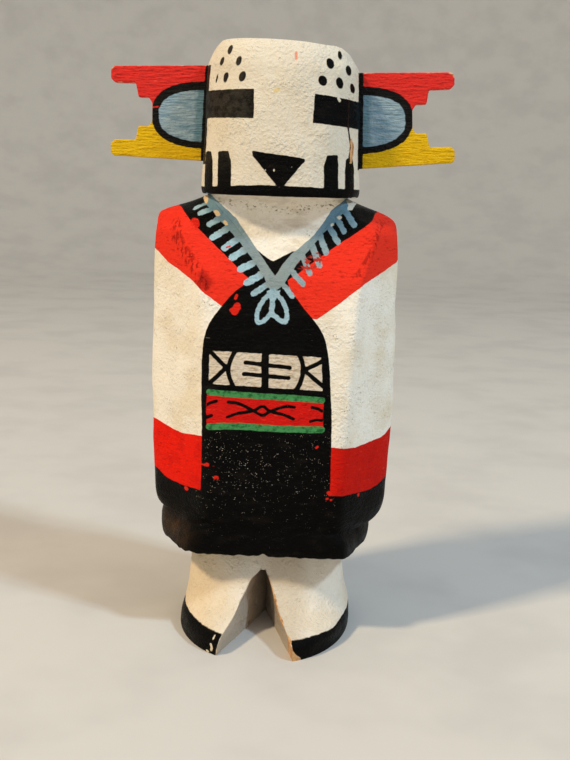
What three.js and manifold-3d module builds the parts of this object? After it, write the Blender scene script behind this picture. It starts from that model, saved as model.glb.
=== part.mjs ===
// A carved and painted wooden kachina doll that stands on its own feet.
// Millimetres, +Z up. The doll faces -Y and its right-hand side in a front view is +X.
// One piece of wood holds the head, robe, dress and legs; two flat stepped ears are glued on.
import * as THREE from 'three';
import { mergeVertices } from 'three/addons/utils/BufferGeometryUtils.js';
import Module from 'manifold-3d';

const wasm = await Module();
wasm.setup();

// Heights above the table at which one carved form ends and the next begins.
const hemHeight = 32;
const robeEdgeHeight = 42.3;
const chinHeight = 162.5;
const dollHeight = 216.4;
const crownDome = 0.5;

// How far each form reaches from the upright axis of the doll.
const footFront = 48;
const heelBack = 21;
const legLeft = 33.6;
const legRight = 31.8;

const dressFront = 27.6;
const dressBack = 24;
const dressLeft = 43.2;
const dressRight = 38.8;
const dressLeftCorner = 38.6;
const dressRightCorner = 36.6;
const dressBackCorner = 36.5;

const robeFront = 28.6;
const robeBack = 25.5;
const robeLeft = 46.6;
const robeRight = 45.4;
const robeLeftCorner = 36;
const robeRightCorner = 39;
const robeBackCorner = 39;

const headFront = 25.5;
const headBack = 25.5;
const headLeft = 28.5;
const headRight = 29.2;

// The lower edge of the robe runs a little higher on the -X side and lower on the +X side.
const robeEdgeDrop = 1.7;
const robeEdgeFade = 18;

// The notch that parts the feet: a wedge cut with its point near the heels.
const notchPointX = -0.8;
const notchPointY = 3;
const notchTop = 24.8;
const notchLeftSlope = 0.325;
const notchRightSlope = 0.264;
const notchOverrun = 12;

// How far up the head each ear's middle sits, as a share of the height from chin to crown.
const leftEarShare = 0.53;
const rightEarShare = 0.51;

// One ear board, measured outwards from the axis. Its rises above and below its middle are shares
// of the head's height, so that the boards stay within the head that carries them.
const headHeight = dollHeight - chinHeight;
const earThickness = 4.6;
const earEdgeRound = 0.35;
const earTipReach = 62.5;
const earTipRise = 0.2968 * headHeight;
const earRootRise = 0.3154 * headHeight;
const earOuterStepReach = 53.4;
const earOuterStepRise = 0.1874 * headHeight;
const earInnerStepReach = 48.6;
const earInnerStepRise = 0.0946 * headHeight;
const earWaistReach = 47.3;
const earWaistRise = 0.0594 * headHeight;
const earCorner = 1.1;
const leftEarLift = 0;
const rightEarLift = 3.6;
const glueGap = 0.3;

const sectors = 72;

// Straight-line value between [share, value] pairs that rise in share.
function along(keys, share) {
  let last = keys[0];
  for (const key of keys) {
    if (share <= key[0]) {
      const span = key[0] - last[0];
      return span > 0 ? last[1] + ((key[1] - last[1]) * (share - last[0])) / span : key[1];
    }
    last = key;
  }
  return last[1];
}

// Each form is a ring of knife-cut faces: the way a face looks, in degrees from +X, its distance
// from the axis, and what share of that distance it keeps on its way up. A high edge number
// leaves crisp ridges between the faces, and 2 rounds them into an ellipse.
const instepKeep = [
  [0, 1], [0.17, 0.98], [0.225, 0.9], [0.27, 0.71], [0.345, 0.56], [0.5, 0.47], [1, 0.375],
];
const heelKeep = [[0, 1], [0.15, 1], [0.4, 0.9], [1, 0.88]];
const rightLegKeep = [[0, 1], [0.19, 0.995], [0.31, 0.975], [0.5, 0.918], [1, 0.874]];
const leftLegKeep = [[0, 1], [0.1, 0.995], [0.21, 0.96], [0.4, 0.926], [1, 0.87]];
const legs = {
  from: 0,
  to: hemHeight,
  edge: [[0, 2.1], [1, 2.6]],
  faces: [
    { turn: 0, reach: legRight, keep: rightLegKeep },
    { turn: 90, reach: heelBack, keep: heelKeep },
    { turn: 180, reach: legLeft, keep: leftLegKeep },
    { turn: 270, reach: footFront, keep: instepKeep },
  ],
};

const dressRoll = [[0, 0.97], [0.12, 0.99], [0.55, 1], [0.85, 0.99], [1, 0.955]];
const dressLeftRoll = [[0, 0.995], [0.12, 1], [0.55, 0.985], [0.85, 0.955], [1, 0.93]];
const dressRightRoll = [[0, 0.99], [0.12, 1], [0.55, 1], [0.85, 0.965], [1, 0.92]];
const dressFlat = [[0, 0.97], [0.12, 0.99], [0.55, 1], [1, 0.985]];
const dress = {
  from: hemHeight,
  to: robeEdgeHeight,
  edge: [[0, 24], [1, 24]],
  faces: [
    { turn: 0, reach: dressRight, keep: dressRoll },
    { turn: 45, reach: dressBackCorner, keep: dressRoll },
    { turn: 90, reach: dressBack, keep: dressFlat },
    { turn: 135, reach: dressBackCorner, keep: dressRoll },
    { turn: 180, reach: dressLeft, keep: dressRoll },
    { turn: 210, reach: dressLeftCorner, keep: dressLeftRoll },
    { turn: 270, reach: dressFront, keep: dressFlat },
    { turn: 340, reach: dressRightCorner, keep: dressRightRoll },
  ],
};

const backKeep = [
  [0, 0.93], [0.064, 0.98], [0.147, 1], [0.644, 0.98], [0.818, 0.85], [0.893, 0.7], [0.945, 0.61], [1, 0.55],
];
const backCornerKeep = [
  [0, 0.93], [0.064, 0.98], [0.147, 1], [0.893, 0.98], [0.917, 0.95], [0.945, 0.86], [0.97, 0.743], [1, 0.63],
];
const chestKeep = [
  [0, 0.951], [0.064, 0.986], [0.122, 1], [0.296, 0.983], [0.495, 0.941], [0.644, 0.892],
  [0.76, 0.808], [0.818, 0.7], [0.867, 0.615], [0.917, 0.54], [1, 0.507],
];
const leftKeep = [
  [0, 0.905], [0.014, 0.938], [0.031, 0.95], [0.064, 0.957], [0.147, 0.967], [0.403, 1], [0.66, 0.987],
  [0.893, 0.97], [0.945, 0.985], [0.97, 0.725], [1, 0.54],
];
const rightKeep = [
  [0, 0.862], [0.014, 0.918], [0.031, 0.948], [0.064, 0.968], [0.147, 0.978], [0.37, 1], [0.685, 0.984],
  [0.893, 0.967], [0.945, 0.952], [0.97, 0.715], [1, 0.525],
];
const leftCornerKeep = [
  [0, 0.985], [0.031, 0.995], [0.064, 1], [0.893, 1], [0.917, 0.925], [0.945, 0.89], [0.97, 0.725], [1, 0.7],
];
const rightCornerKeep = [
  [0, 0.93], [0.031, 0.965], [0.064, 0.98], [0.147, 0.985], [0.37, 1], [0.644, 0.995], [0.893, 0.98],
  [0.917, 0.93], [0.945, 0.79], [0.97, 0.748], [1, 0.65],
];
const robe = {
  from: robeEdgeHeight,
  to: chinHeight,
  edge: [[0, 14], [0.064, 30], [0.9, 40], [1, 8]],
  faces: [
    { turn: 0, reach: robeRight, keep: rightKeep },
    { turn: 45, reach: robeBackCorner, keep: backCornerKeep },
    { turn: 90, reach: robeBack, keep: backKeep },
    { turn: 135, reach: robeBackCorner, keep: backCornerKeep },
    { turn: 180, reach: robeLeft, keep: leftKeep },
    { turn: 225, reach: robeLeftCorner, keep: leftCornerKeep },
    { turn: 271, reach: robeFront, keep: chestKeep },
    { turn: 324, reach: robeRightCorner, keep: rightCornerKeep },
  ],
};

const faceKeep = [
  [0, 0.975], [0.02, 1], [0.5, 0.985], [0.84, 0.93], [0.9, 0.885], [0.95, 0.835], [0.98, 0.79], [1, 0.74],
];
const rightTempleKeep = [
  [0, 0.975], [0.02, 1], [0.7, 0.962], [0.84, 0.95], [0.9, 0.885], [0.95, 0.825], [0.98, 0.775], [1, 0.69],
];
const leftTempleKeep = [
  [0, 0.975], [0.02, 1], [0.7, 0.96], [0.84, 0.945], [0.9, 0.885], [0.98, 0.795], [1, 0.75],
];
const head = {
  from: chinHeight,
  to: dollHeight - crownDome,
  edge: [[0, 2.5], [1, 2.3]],
  faces: [
    { turn: 0, reach: headRight, keep: rightTempleKeep },
    { turn: 90, reach: headBack, keep: faceKeep },
    { turn: 180, reach: headLeft, keep: leftTempleKeep },
    { turn: 270, reach: headFront, keep: faceKeep },
  ],
};

// Distance from the axis to the skin of a form, along one direction: the faces' distances joined
// by a power mean, so that the nearest face rules and the ridges between faces are worn round.
function skinRadius(form, share, angle, grow = 0) {
  const power = along(form.edge, share);
  let sum = 0;
  for (const face of form.faces) {
    const facing = Math.cos(angle - THREE.MathUtils.degToRad(face.turn));
    if (facing > 0) {
      sum += (facing / (face.reach * along(face.keep, share) + grow)) ** power;
    }
  }
  return sum ** (-1 / power);
}

// The heights at which any face of a form changes its slope.
function breakShares(form) {
  const shares = new Set();
  for (const face of form.faces) {
    face.keep.forEach((key) => shares.add(key[0]));
  }
  const sorted = [...shares].sort((a, b) => a - b);
  return sorted.filter((share, i) => i === 0 || share === 1 || share - sorted[i - 1] > 0.012);
}

// How much of the robe edge's drop a height takes: all at the edge, none at the hem.
function edgeDropShare(height) {
  if (height < hemHeight) return 0;
  if (height < robeEdgeHeight) return (height - hemHeight) / (robeEdgeHeight - hemHeight);
  return Math.max(0, 1 - (height - robeEdgeHeight) / robeEdgeFade);
}

// One ring of points for each break of a form.
function formRings(form, grow = 0) {
  return breakShares(form).map((share) => {
    const height = form.from + (form.to - form.from) * share;
    const drop = robeEdgeDrop * edgeDropShare(height);
    const ring = [];
    for (let i = 0; i < sectors; i += 1) {
      const angle = (2 * Math.PI * i) / sectors;
      const radius = skinRadius(form, share, angle, grow);
      const z = height - drop * Math.cos(angle);
      ring.push([radius * Math.cos(angle), radius * Math.sin(angle), z]);
    }
    return ring;
  });
}

// A closed skin over rings that are stacked upwards, each end closed by a fan round its middle.
function closedSkin(rings, bottomHeight, topHeight) {
  const count = rings[0].length;
  const middle = (ring, z) => [
    ring.reduce((sum, p) => sum + p[0], 0) / count,
    ring.reduce((sum, p) => sum + p[1], 0) / count,
    z,
  ];
  const points = rings.flat();
  const bottom = points.push(middle(rings[0], bottomHeight)) - 1;
  const top = points.push(middle(rings[rings.length - 1], topHeight)) - 1;
  const lastRow = (rings.length - 1) * count;
  const triangles = [];
  for (let i = 0; i < count; i += 1) {
    const next = (i + 1) % count;
    triangles.push(bottom, next, i);
    triangles.push(top, lastRow + i, lastRow + next);
    for (let row = 0; row < rings.length - 1; row += 1) {
      const low = row * count;
      const high = low + count;
      triangles.push(low + i, low + next, high + next);
      triangles.push(low + i, high + next, high + i);
    }
  }
  const geometry = new THREE.BufferGeometry();
  geometry.setAttribute('position', new THREE.Float32BufferAttribute(points.flat(), 3));
  geometry.setIndex(triangles);
  return geometry;
}

function toSolid(geometry) {
  const bare = geometry.clone();
  bare.deleteAttribute('normal');
  bare.deleteAttribute('uv');
  const merged = mergeVertices(bare, 1e-4);
  const mesh = new wasm.Mesh({
    numProp: 3,
    vertProperties: new Float32Array(merged.attributes.position.array),
    triVerts: new Uint32Array(merged.index.array),
  });
  return new wasm.Manifold(mesh);
}

function toGeometry(solid) {
  const mesh = solid.getMesh();
  const geometry = new THREE.BufferGeometry();
  geometry.setAttribute('position', new THREE.BufferAttribute(new Float32Array(mesh.vertProperties), 3));
  geometry.setIndex(new THREE.BufferAttribute(new Uint32Array(mesh.triVerts), 1));
  geometry.computeVertexNormals();
  return geometry;
}

// The wedge between the feet: its walls stand nearly upright and close to a point at the top.
function notchWedge() {
  const beyondToes = footFront + notchOverrun;
  const levels = [
    { share: -0.08, left: 1, right: 1 },
    { share: 0.06, left: 0.98, right: 1 },
    { share: 0.22, left: 0.915, right: 0.96 },
    { share: 0.56, left: 0.92, right: 0.72 },
    { share: 0.85, left: 0.585, right: 0.38 },
    { share: 1, left: 0.1, right: 0.1 },
  ];
  const depth = beyondToes + notchPointY;
  const rings = levels.map(({ share, left, right }) => {
    const z = notchTop * share;
    return [
      [notchPointX, notchPointY, z],
      [notchPointX - notchLeftSlope * left * depth, -beyondToes, z],
      [notchPointX + notchRightSlope * right * depth, -beyondToes, z],
    ];
  });
  return toSolid(closedSkin(rings, rings[0][0][2], notchTop));
}

function carvedFigure() {
  const rings = [legs, dress, robe, head].flatMap((form) => formRings(form));
  const block = toSolid(closedSkin(rings, 0, dollHeight));
  return toGeometry(block.subtract(notchWedge()));
}

// The stepped outline of one ear, upper half and lower half alike.
function earOutline() {
  const root = Math.min(headLeft, headRight) / 2;
  const upper = [
    [root, earRootRise + (earRootRise - earTipRise) * 0.4],
    [earTipReach - earCorner, earTipRise],
    [earTipReach, earTipRise - earCorner],
    [earTipReach, earOuterStepRise + earCorner * 1.3],
    [earTipReach - earCorner * 1.3, earOuterStepRise],
    [earOuterStepReach, earOuterStepRise],
    [(earOuterStepReach + earInnerStepReach + earCorner * 2.5) / 2, earInnerStepRise],
    [earInnerStepReach, earInnerStepRise],
    [earWaistReach, earWaistRise],
  ];
  const lower = upper.map(([reach, rise]) => [reach, -rise]).reverse();
  return [...upper, ...lower].map(([reach, rise]) => new THREE.Vector2(reach, rise));
}

// An ear is a sawn board whose inner end fits the side of the head, a glue gap away from it.
function ear(side, headShare, lift) {
  const board = new THREE.ExtrudeGeometry(new THREE.Shape(earOutline()), {
    depth: earThickness - 2 * earEdgeRound,
    bevelEnabled: true,
    bevelThickness: earEdgeRound,
    bevelSize: earEdgeRound,
    bevelOffset: -earEdgeRound,
    bevelSegments: 1,
  });
  board.translate(0, 0, -(earThickness / 2 - earEdgeRound));
  board.rotateX(Math.PI / 2);
  const rootReach = side > 0 ? headRight : headLeft;
  board.translate(-rootReach, 0, 0);
  board.rotateY(-THREE.MathUtils.degToRad(lift));
  board.translate(rootReach, 0, chinHeight + headHeight * headShare);
  if (side < 0) board.rotateZ(Math.PI);
  const grownHead = toSolid(closedSkin(formRings(head, glueGap), chinHeight, dollHeight));
  return toGeometry(toSolid(board).subtract(grownHead));
}

function painted(name, geometry, color, roughness) {
  const material = new THREE.MeshStandardMaterial({ color, roughness, metalness: 0 });
  const mesh = new THREE.Mesh(geometry, material);
  mesh.name = name;
  return mesh;
}

const doll = new THREE.Group();
doll.add(painted('carved_figure', carvedFigure(), 0xd9cdb8, 0.75));
doll.add(painted('left_ear', ear(-1, leftEarShare, leftEarLift), 0xb8322a, 0.7));
doll.add(painted('right_ear', ear(1, rightEarShare, rightEarLift), 0xc9a01a, 0.7));

// The origin lies on the table, under the middle of the doll's box.
const box = new THREE.Box3().setFromObject(doll);
doll.position.set(-(box.min.x + box.max.x) / 2, -(box.min.y + box.max.y) / 2, -box.min.z);

export default doll;
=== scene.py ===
# %% [markdown]
# # A carved and painted kachina doll
# The real doll is one piece of soft, light root wood that was split, whittled with a knife and
# painted with thin matt colours. Two stepped boards are glued to its head as ears. The CAD model
# already fixes every size, so this script starts from it and adds what a knife and a brush leave
# behind. All lengths below are millimetres from the doll's upright axis, and they become metres
# only when a mesh is made.

# %% Load the fixed frame
import bmesh
import bpy
import numpy as np
from mathutils import Matrix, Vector
from mathutils.geometry import delaunay_2d_cdt


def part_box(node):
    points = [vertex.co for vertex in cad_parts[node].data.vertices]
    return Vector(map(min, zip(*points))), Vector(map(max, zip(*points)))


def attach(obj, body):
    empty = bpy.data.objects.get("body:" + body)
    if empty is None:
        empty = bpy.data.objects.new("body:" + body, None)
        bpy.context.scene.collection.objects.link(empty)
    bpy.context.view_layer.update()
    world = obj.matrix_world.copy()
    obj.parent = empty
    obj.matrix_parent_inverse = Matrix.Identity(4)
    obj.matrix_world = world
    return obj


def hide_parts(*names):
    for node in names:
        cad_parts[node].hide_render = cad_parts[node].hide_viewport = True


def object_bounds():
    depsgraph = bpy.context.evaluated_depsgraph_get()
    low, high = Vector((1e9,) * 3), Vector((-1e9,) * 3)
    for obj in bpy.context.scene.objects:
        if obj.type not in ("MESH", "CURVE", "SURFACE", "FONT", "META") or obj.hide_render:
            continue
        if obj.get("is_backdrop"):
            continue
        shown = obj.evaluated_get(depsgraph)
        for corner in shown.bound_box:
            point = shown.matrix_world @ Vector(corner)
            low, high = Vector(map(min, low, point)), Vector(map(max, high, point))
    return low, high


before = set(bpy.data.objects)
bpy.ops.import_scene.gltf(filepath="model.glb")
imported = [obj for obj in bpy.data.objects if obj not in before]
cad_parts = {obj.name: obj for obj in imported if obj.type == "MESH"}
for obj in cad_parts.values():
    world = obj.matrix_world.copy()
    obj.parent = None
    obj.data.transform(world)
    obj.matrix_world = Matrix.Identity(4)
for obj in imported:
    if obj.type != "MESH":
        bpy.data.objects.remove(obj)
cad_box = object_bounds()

print("CAD nodes:", sorted(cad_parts))

# %% [markdown]
# ## Where the doll's axis stands
# The CAD model is centred on its box, and the box isn't centred on the doll's axis, because the toes
# reach further forward than the heels reach back. The ears are centred on the axis from front to
# back, and the left ear's tip is a known distance from it, so the ear's box gives both offsets.

# %% Find the axis
MM, EAR_TIP_REACH = 0.001, 62.5
ear_low, ear_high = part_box("left_ear")
axis_place = np.array([ear_low.x + EAR_TIP_REACH * MM, (ear_low.y + ear_high.y) / 2, 0.0])


def to_frame(points):
    """Metres in the frame: the points in millimetres from the axis, made smaller and moved with it."""
    return np.asarray(points) * MM + axis_place


def from_frame(points):
    """Millimetres from the doll's axis: the way back from to_frame."""
    return (np.asarray(points) - axis_place) / MM


print("axis stands at", np.round(axis_place * 1000, 2), "mm")

# %% [markdown]
# ## The camera
# The picture was taken close by, from a little to the doll's left-hand side and above its middle,
# with the horizon well above the middle of the picture. A camera is fully placed by where it stands,
# how far it looks down and how far it is rolled, so these are the values that are named here.

# %% Place the camera


def new_object(name, data):
    """An object of this mesh, lamp or camera, linked into the scene."""
    made = bpy.data.objects.new(name, data)
    bpy.context.scene.collection.objects.link(made)
    return made


PICTURE_HEIGHT_PX = 760
FOCAL_LENGTH_PX = 1142
HORIZON_PX = 170
SENSOR_MM = 36
camera_turn = np.radians(2.5)
camera_roll = np.radians(1.8)
camera_distance = 426.7
camera_height = 171.8
camera_sidestep = 4.1

camera_pitch = np.arctan((PICTURE_HEIGHT_PX / 2 - HORIZON_PX) / FOCAL_LENGTH_PX)
turn_cos, turn_sin = np.cos(camera_turn), np.sin(camera_turn)
pitch_cos, pitch_sin = np.cos(camera_pitch), np.sin(camera_pitch)
forward = np.array([-turn_sin * pitch_cos, turn_cos * pitch_cos, -pitch_sin])
level_right = np.array([turn_cos, turn_sin, 0.0])
level_up = np.cross(level_right, forward)
right = np.cos(camera_roll) * level_right + np.sin(camera_roll) * level_up
up = -np.sin(camera_roll) * level_right + np.cos(camera_roll) * level_up
stand_x = camera_distance * turn_sin + camera_sidestep * turn_cos
stand_y = -camera_distance * turn_cos + camera_sidestep * turn_sin

camera_data = bpy.data.cameras.new("photo_camera")
camera_data.sensor_width = SENSOR_MM
camera_data.lens = SENSOR_MM * FOCAL_LENGTH_PX / PICTURE_HEIGHT_PX
camera_data.clip_start = 0.01
camera_data.dof.use_dof = False
camera = new_object("photo_camera", camera_data)
camera_matrix = np.eye(4)
camera_matrix[:3, 0], camera_matrix[:3, 1], camera_matrix[:3, 2] = right, up, -forward
camera_matrix[:3, 3] = to_frame([stand_x, stand_y, camera_height])
camera.matrix_world = Matrix(camera_matrix.tolist())
bpy.context.scene.camera = camera
print("camera lens", round(camera_data.lens, 1), "mm, pitch", round(float(np.degrees(camera_pitch)), 2))

# %% [markdown]
# ## Faces cut by a knife
# A whittled doll is a stack of forms, and each form is a ring of flat or gently rolled faces that meet
# in soft ridges. A face is named by the way it looks, by its distance from the axis, and by the share
# of that distance that it keeps on its way up. One formula joins the faces of a form, so a crisp robe
# and a round leg differ only in one number, and the same values shape the CAD solid.

# %% The section formula
KNIFE_WEAR = 1.2


def along(keys, share, soft=0.0):
    """Value between (share, value) pairs: straight lines whose corners are worn round over the
    height share soft, as the weighted mean of five readings side by side."""
    keys = np.asarray(keys, float)
    readings = ((-1, 1), (-0.5, 2), (0, 2), (0.5, 2), (1, 1))
    total = 0.0
    for step, weight in readings:
        total = total + weight * np.interp(share + step * soft, keys[:, 0], keys[:, 1])
    return total / sum(weight for _, weight in readings)


def skin_radius(form, height, angle):
    """Distance from the axis to the skin: the faces' distances, each divided by the cosine of the
    angle to its facing, joined by a power mean in which the nearest face rules."""
    span = form["high"] - form["low"]
    share = (height - form["low"]) / span
    power = along(form["edge"], share, KNIFE_WEAR / span)
    total = 0.0
    for turn, reach, keep in form["faces"]:
        facing = np.maximum(np.cos(angle - np.radians(turn)), 0.0)
        total = total + (facing / (reach * along(keep, share, KNIFE_WEAR / span))) ** power
    return total ** (-1.0 / power)


post_faces = [(turn, 10, [(0, 1)]) for turn in range(0, 360, 90)]
post = {"low": 0, "high": 1, "edge": [(0, 2)], "faces": post_faces}
post_radius = skin_radius(post, 0.5, np.radians([0, 30, 60]))
print("four equal faces joined with power 2 make a round post:", post_radius.round(2))

# %% The legs and the head
HEM_HEIGHT, ROBE_EDGE_HEIGHT, CHIN_HEIGHT, DOLL_HEIGHT, CROWN_DOME = 32.0, 42.3, 162.5, 216.4, 0.5

instep_keep = [(0, 1), (0.17, 0.98), (0.225, 0.9), (0.27, 0.71), (0.345, 0.56), (0.5, 0.47), (1, 0.375)]
heel_keep = [(0, 1), (0.15, 1), (0.4, 0.9), (1, 0.88)]
right_leg_keep = [(0, 1), (0.19, 0.995), (0.31, 0.975), (0.5, 0.918), (1, 0.874)]
left_leg_keep = [(0, 1), (0.1, 0.995), (0.21, 0.96), (0.4, 0.926), (1, 0.87)]
legs = {
    "low": 0.0,
    "high": HEM_HEIGHT,
    "edge": [(0, 2.1), (1, 2.6)],
    "faces": [
        (0, 31.8, right_leg_keep), (90, 21, heel_keep), (180, 33.6, left_leg_keep),
        (270, 48.0, instep_keep),
    ],
}

face_keep = [(0, 0.975), (0.02, 1), (0.5, 0.985), (0.84, 0.93), (0.9, 0.885), (0.95, 0.835), (0.98, 0.79),
    (1, 0.74)]
right_temple_keep = [(0, 0.975), (0.02, 1), (0.7, 0.962), (0.84, 0.95), (0.9, 0.885), (0.95, 0.825),
    (0.98, 0.775), (1, 0.69)]
left_temple_keep = [(0, 0.975), (0.02, 1), (0.7, 0.96), (0.84, 0.945), (0.9, 0.885), (0.98, 0.795),
    (1, 0.75)]
head = {
    "low": CHIN_HEIGHT,
    "high": DOLL_HEIGHT - CROWN_DOME,
    "edge": [(0, 2.5), (1, 2.3)],
    "faces": [
        (0, 29.2, right_temple_keep), (90, 25.5, face_keep), (180, 28.5, left_temple_keep),
        (270, 25.5, face_keep),
    ],
}
print("legs to", HEM_HEIGHT, "mm, head from", CHIN_HEIGHT, "to", DOLL_HEIGHT, "mm")

# %% The dress and the robe
roll_keep = [(0, 0.97), (0.12, 0.99), (0.55, 1), (0.85, 0.99), (1, 0.955)]
left_roll_keep = [(0, 0.995), (0.12, 1), (0.55, 0.985), (0.85, 0.955), (1, 0.93)]
right_roll_keep = [(0, 0.99), (0.12, 1), (0.55, 1), (0.85, 0.965), (1, 0.92)]
flat_keep = [(0, 0.97), (0.12, 0.99), (0.55, 1), (1, 0.985)]
dress = {
    "low": HEM_HEIGHT,
    "high": ROBE_EDGE_HEIGHT,
    "edge": [(0, 24), (1, 24)],
    "faces": [
        (0, 38.8, roll_keep), (45, 36.5, roll_keep), (90, 24, flat_keep), (135, 36.5, roll_keep),
        (180, 43.2, roll_keep), (210, 38.6, left_roll_keep), (270, 27.6, flat_keep),
        (340, 36.6, right_roll_keep),
    ],
}

back_keep = [(0, 0.93), (0.064, 0.98), (0.147, 1), (0.644, 0.98), (0.818, 0.85), (0.893, 0.7), (0.945, 0.61),
    (1, 0.55)]
back_corner_keep = [(0, 0.93), (0.064, 0.98), (0.147, 1), (0.893, 0.98), (0.917, 0.95), (0.945, 0.86),
    (0.97, 0.743), (1, 0.63)]
chest_keep = [(0, 0.951), (0.064, 0.986), (0.122, 1), (0.296, 0.983), (0.495, 0.941), (0.644, 0.892),
    (0.76, 0.808), (0.818, 0.7), (0.867, 0.615), (0.917, 0.54), (1, 0.507)]
left_keep = [(0, 0.905), (0.014, 0.938), (0.031, 0.95), (0.064, 0.957), (0.147, 0.967), (0.403, 1),
    (0.66, 0.987), (0.893, 0.97), (0.945, 0.985), (0.97, 0.725), (1, 0.54)]
right_keep = [(0, 0.862), (0.014, 0.918), (0.031, 0.948), (0.064, 0.968), (0.147, 0.978), (0.37, 1),
    (0.685, 0.984), (0.893, 0.967), (0.945, 0.952), (0.97, 0.715), (1, 0.525)]
left_corner_keep = [(0, 0.985), (0.031, 0.995), (0.064, 1), (0.893, 1), (0.917, 0.925), (0.945, 0.89),
    (0.97, 0.725), (1, 0.7)]
right_corner_keep = [(0, 0.93), (0.031, 0.965), (0.064, 0.98), (0.147, 0.985), (0.37, 1), (0.644, 0.995),
    (0.893, 0.98), (0.917, 0.93), (0.945, 0.79), (0.97, 0.748), (1, 0.65)]
robe = {
    "low": ROBE_EDGE_HEIGHT,
    "high": CHIN_HEIGHT,
    "edge": [(0, 14), (0.064, 30), (0.68, 40), (0.77, 120), (0.86, 120), (0.9, 40), (1, 8)],
    "faces": [
        (0, 45.4, right_keep), (45, 39, back_corner_keep), (90, 25.5, back_keep),
        (135, 39, back_corner_keep), (180, 46.6, left_keep), (225, 36, left_corner_keep),
        (271, 28.6, chest_keep), (324, 39, right_corner_keep),
    ],
}
print("robe faces:", len(robe["faces"]), "dress faces:", len(dress["faces"]))

# %% [markdown]
# ## A grid that is finest where the brush worked
# Paint edges are stored on the vertices later, so the mesh needs a vertex about every half
# millimetre where the fine painting is. The columns of the grid stand close on the front and far
# apart on the plain back, and the rows are close at the mask, the necklace and the belt.

# %% Columns round the doll
FRONT_HALF_WIDTH = 27.5


def column_angles():
    """Angles from +X: even steps across the flat front, as the arctangent of the place across it,
    then steps that grow wider round the sides and the back."""
    across = np.linspace(-FRONT_HALF_WIDTH, FRONT_HALF_WIDTH, 117)
    front = np.arctan(across / FRONT_HALF_WIDTH)
    quarter = np.linspace(np.radians(45), np.radians(68), 21)[1:]
    side = np.linspace(np.radians(68), np.radians(112), 15)[1:]
    back = np.linspace(np.radians(112), np.radians(248), 33)[1:-1]
    right_hand = np.concatenate([quarter, side])
    around = np.concatenate([front, right_hand, back, 2 * np.pi - right_hand[::-1]])
    return around - np.pi / 2


angles = column_angles()
print("columns:", len(angles))

# %% Rows up the doll


def spaced(*stops):
    """Heights in ascending order: each (height, spacing) pair sets how close the rows stand up to
    the next pair's height."""
    runs = []
    for (low, spacing), (high, _) in zip(stops[:-1], stops[1:]):
        runs.append(np.linspace(low, high, max(2, int(round((high - low) / spacing)) + 1))[:-1])
    return np.concatenate(runs + [[stops[-1][0]]])


leg_heights = spaced((0, 0.45), (9, 1.15), (HEM_HEIGHT, 0))
dress_heights = spaced((HEM_HEIGHT, 0.45), (34, 0.75), (ROBE_EDGE_HEIGHT, 0))
robe_heights = spaced(
    (ROBE_EDGE_HEIGHT, 0.9), (54, 0.5), (59.5, 0.9), (72.5, 0.5), (79, 0.42), (109, 0.8), (116.5, 0.48),
    (CHIN_HEIGHT, 0),
)
head_heights = spaced((CHIN_HEIGHT, 0.43), (178, 0.8), (186, 0.45), (214, 0.6),
    (DOLL_HEIGHT - CROWN_DOME, 0))
print("rows:", [len(h) for h in (leg_heights, dress_heights, robe_heights, head_heights)])

# %% [markdown]
# ## One skin from sole to crown
# The block of wood is one piece, so it is one closed surface: it starts in the middle of the sole,
# goes up the legs, out under the hem, up the dress and the robe, out under the chin, up the head and
# in over the crown. Computing whole arrays of radius and height for each stretch keeps this short.

# %% The skin as radius and height arrays
ROBE_EDGE_DROP, ROBE_EDGE_FADE = 1.7, 18.0


def edge_drop(height):
    """How far the robe edge has dropped at a height: nothing at the hem, all at the edge, and
    fading out above it."""
    rising = (height - HEM_HEIGHT) / (ROBE_EDGE_HEIGHT - HEM_HEIGHT)
    fading = 1 - (height - ROBE_EDGE_HEIGHT) / ROBE_EDGE_FADE
    return ROBE_EDGE_DROP * np.clip(np.minimum(rising, fading), 0, 1)


def stretch(form, heights):
    """Rows of one form: its section radius, and its height lowered by the robe edge's drop times
    the cosine of the angle."""
    radius = skin_radius(form, heights[:, None], angles[None, :])
    height = heights[:, None] - edge_drop(heights)[:, None] * np.cos(angles)[None, :]
    return radius, height


def bridge(lower, upper, shares):
    """Rows between the last ring of one stretch and the first of the next, at these shares."""
    shares = np.asarray(shares)[:, None]
    radius = lower[0][-1] + (upper[0][0] - lower[0][-1]) * shares
    height = lower[1][-1] + (upper[1][0] - lower[1][-1]) * shares
    return radius, height


sole_shares = np.array([0.12, 0.3, 0.48, 0.64, 0.78, 0.88, 0.95, 0.985])
crown_shares = np.array([0.985, 0.95, 0.88, 0.76, 0.6, 0.44, 0.28, 0.12])
leg_part, dress_part = stretch(legs, leg_heights), stretch(dress, dress_heights)
robe_part, head_part = stretch(robe, robe_heights), stretch(head, head_heights)
sole_part = (sole_shares[:, None] * leg_part[0][0], np.zeros((len(sole_shares), len(angles))))
crown_part = (
    crown_shares[:, None] * head_part[0][-1],
    DOLL_HEIGHT - CROWN_DOME * crown_shares[:, None] ** 2 * np.ones(len(angles)),
)
parts = [
    sole_part,
    leg_part,
    bridge(leg_part, dress_part, (0.2, 0.4, 0.6, 0.8, 0.95)),
    dress_part,
    bridge(dress_part, robe_part, (0.5,)),
    robe_part,
    bridge(robe_part, head_part, (0.25, 0.5, 0.75, 0.95)),
    head_part,
    crown_part,
]
radius = np.concatenate([part[0] for part in parts])
height = np.concatenate([part[1] for part in parts])
print("skin grid:", radius.shape, "tallest", round(float(height.max()), 2), "mm")

# %% [markdown]
# ## What the knife leaves
# No whittled face is truly flat. Slow waves of a tenth of a millimetre catch the light, finer ones
# come from the grain of the wood under thin paint, the hem is cut a little ragged, and the corners
# are worn round. Sums of sine waves with a fixed seed give the same doll on each run.

# %% Unevenness as sums of waves


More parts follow.
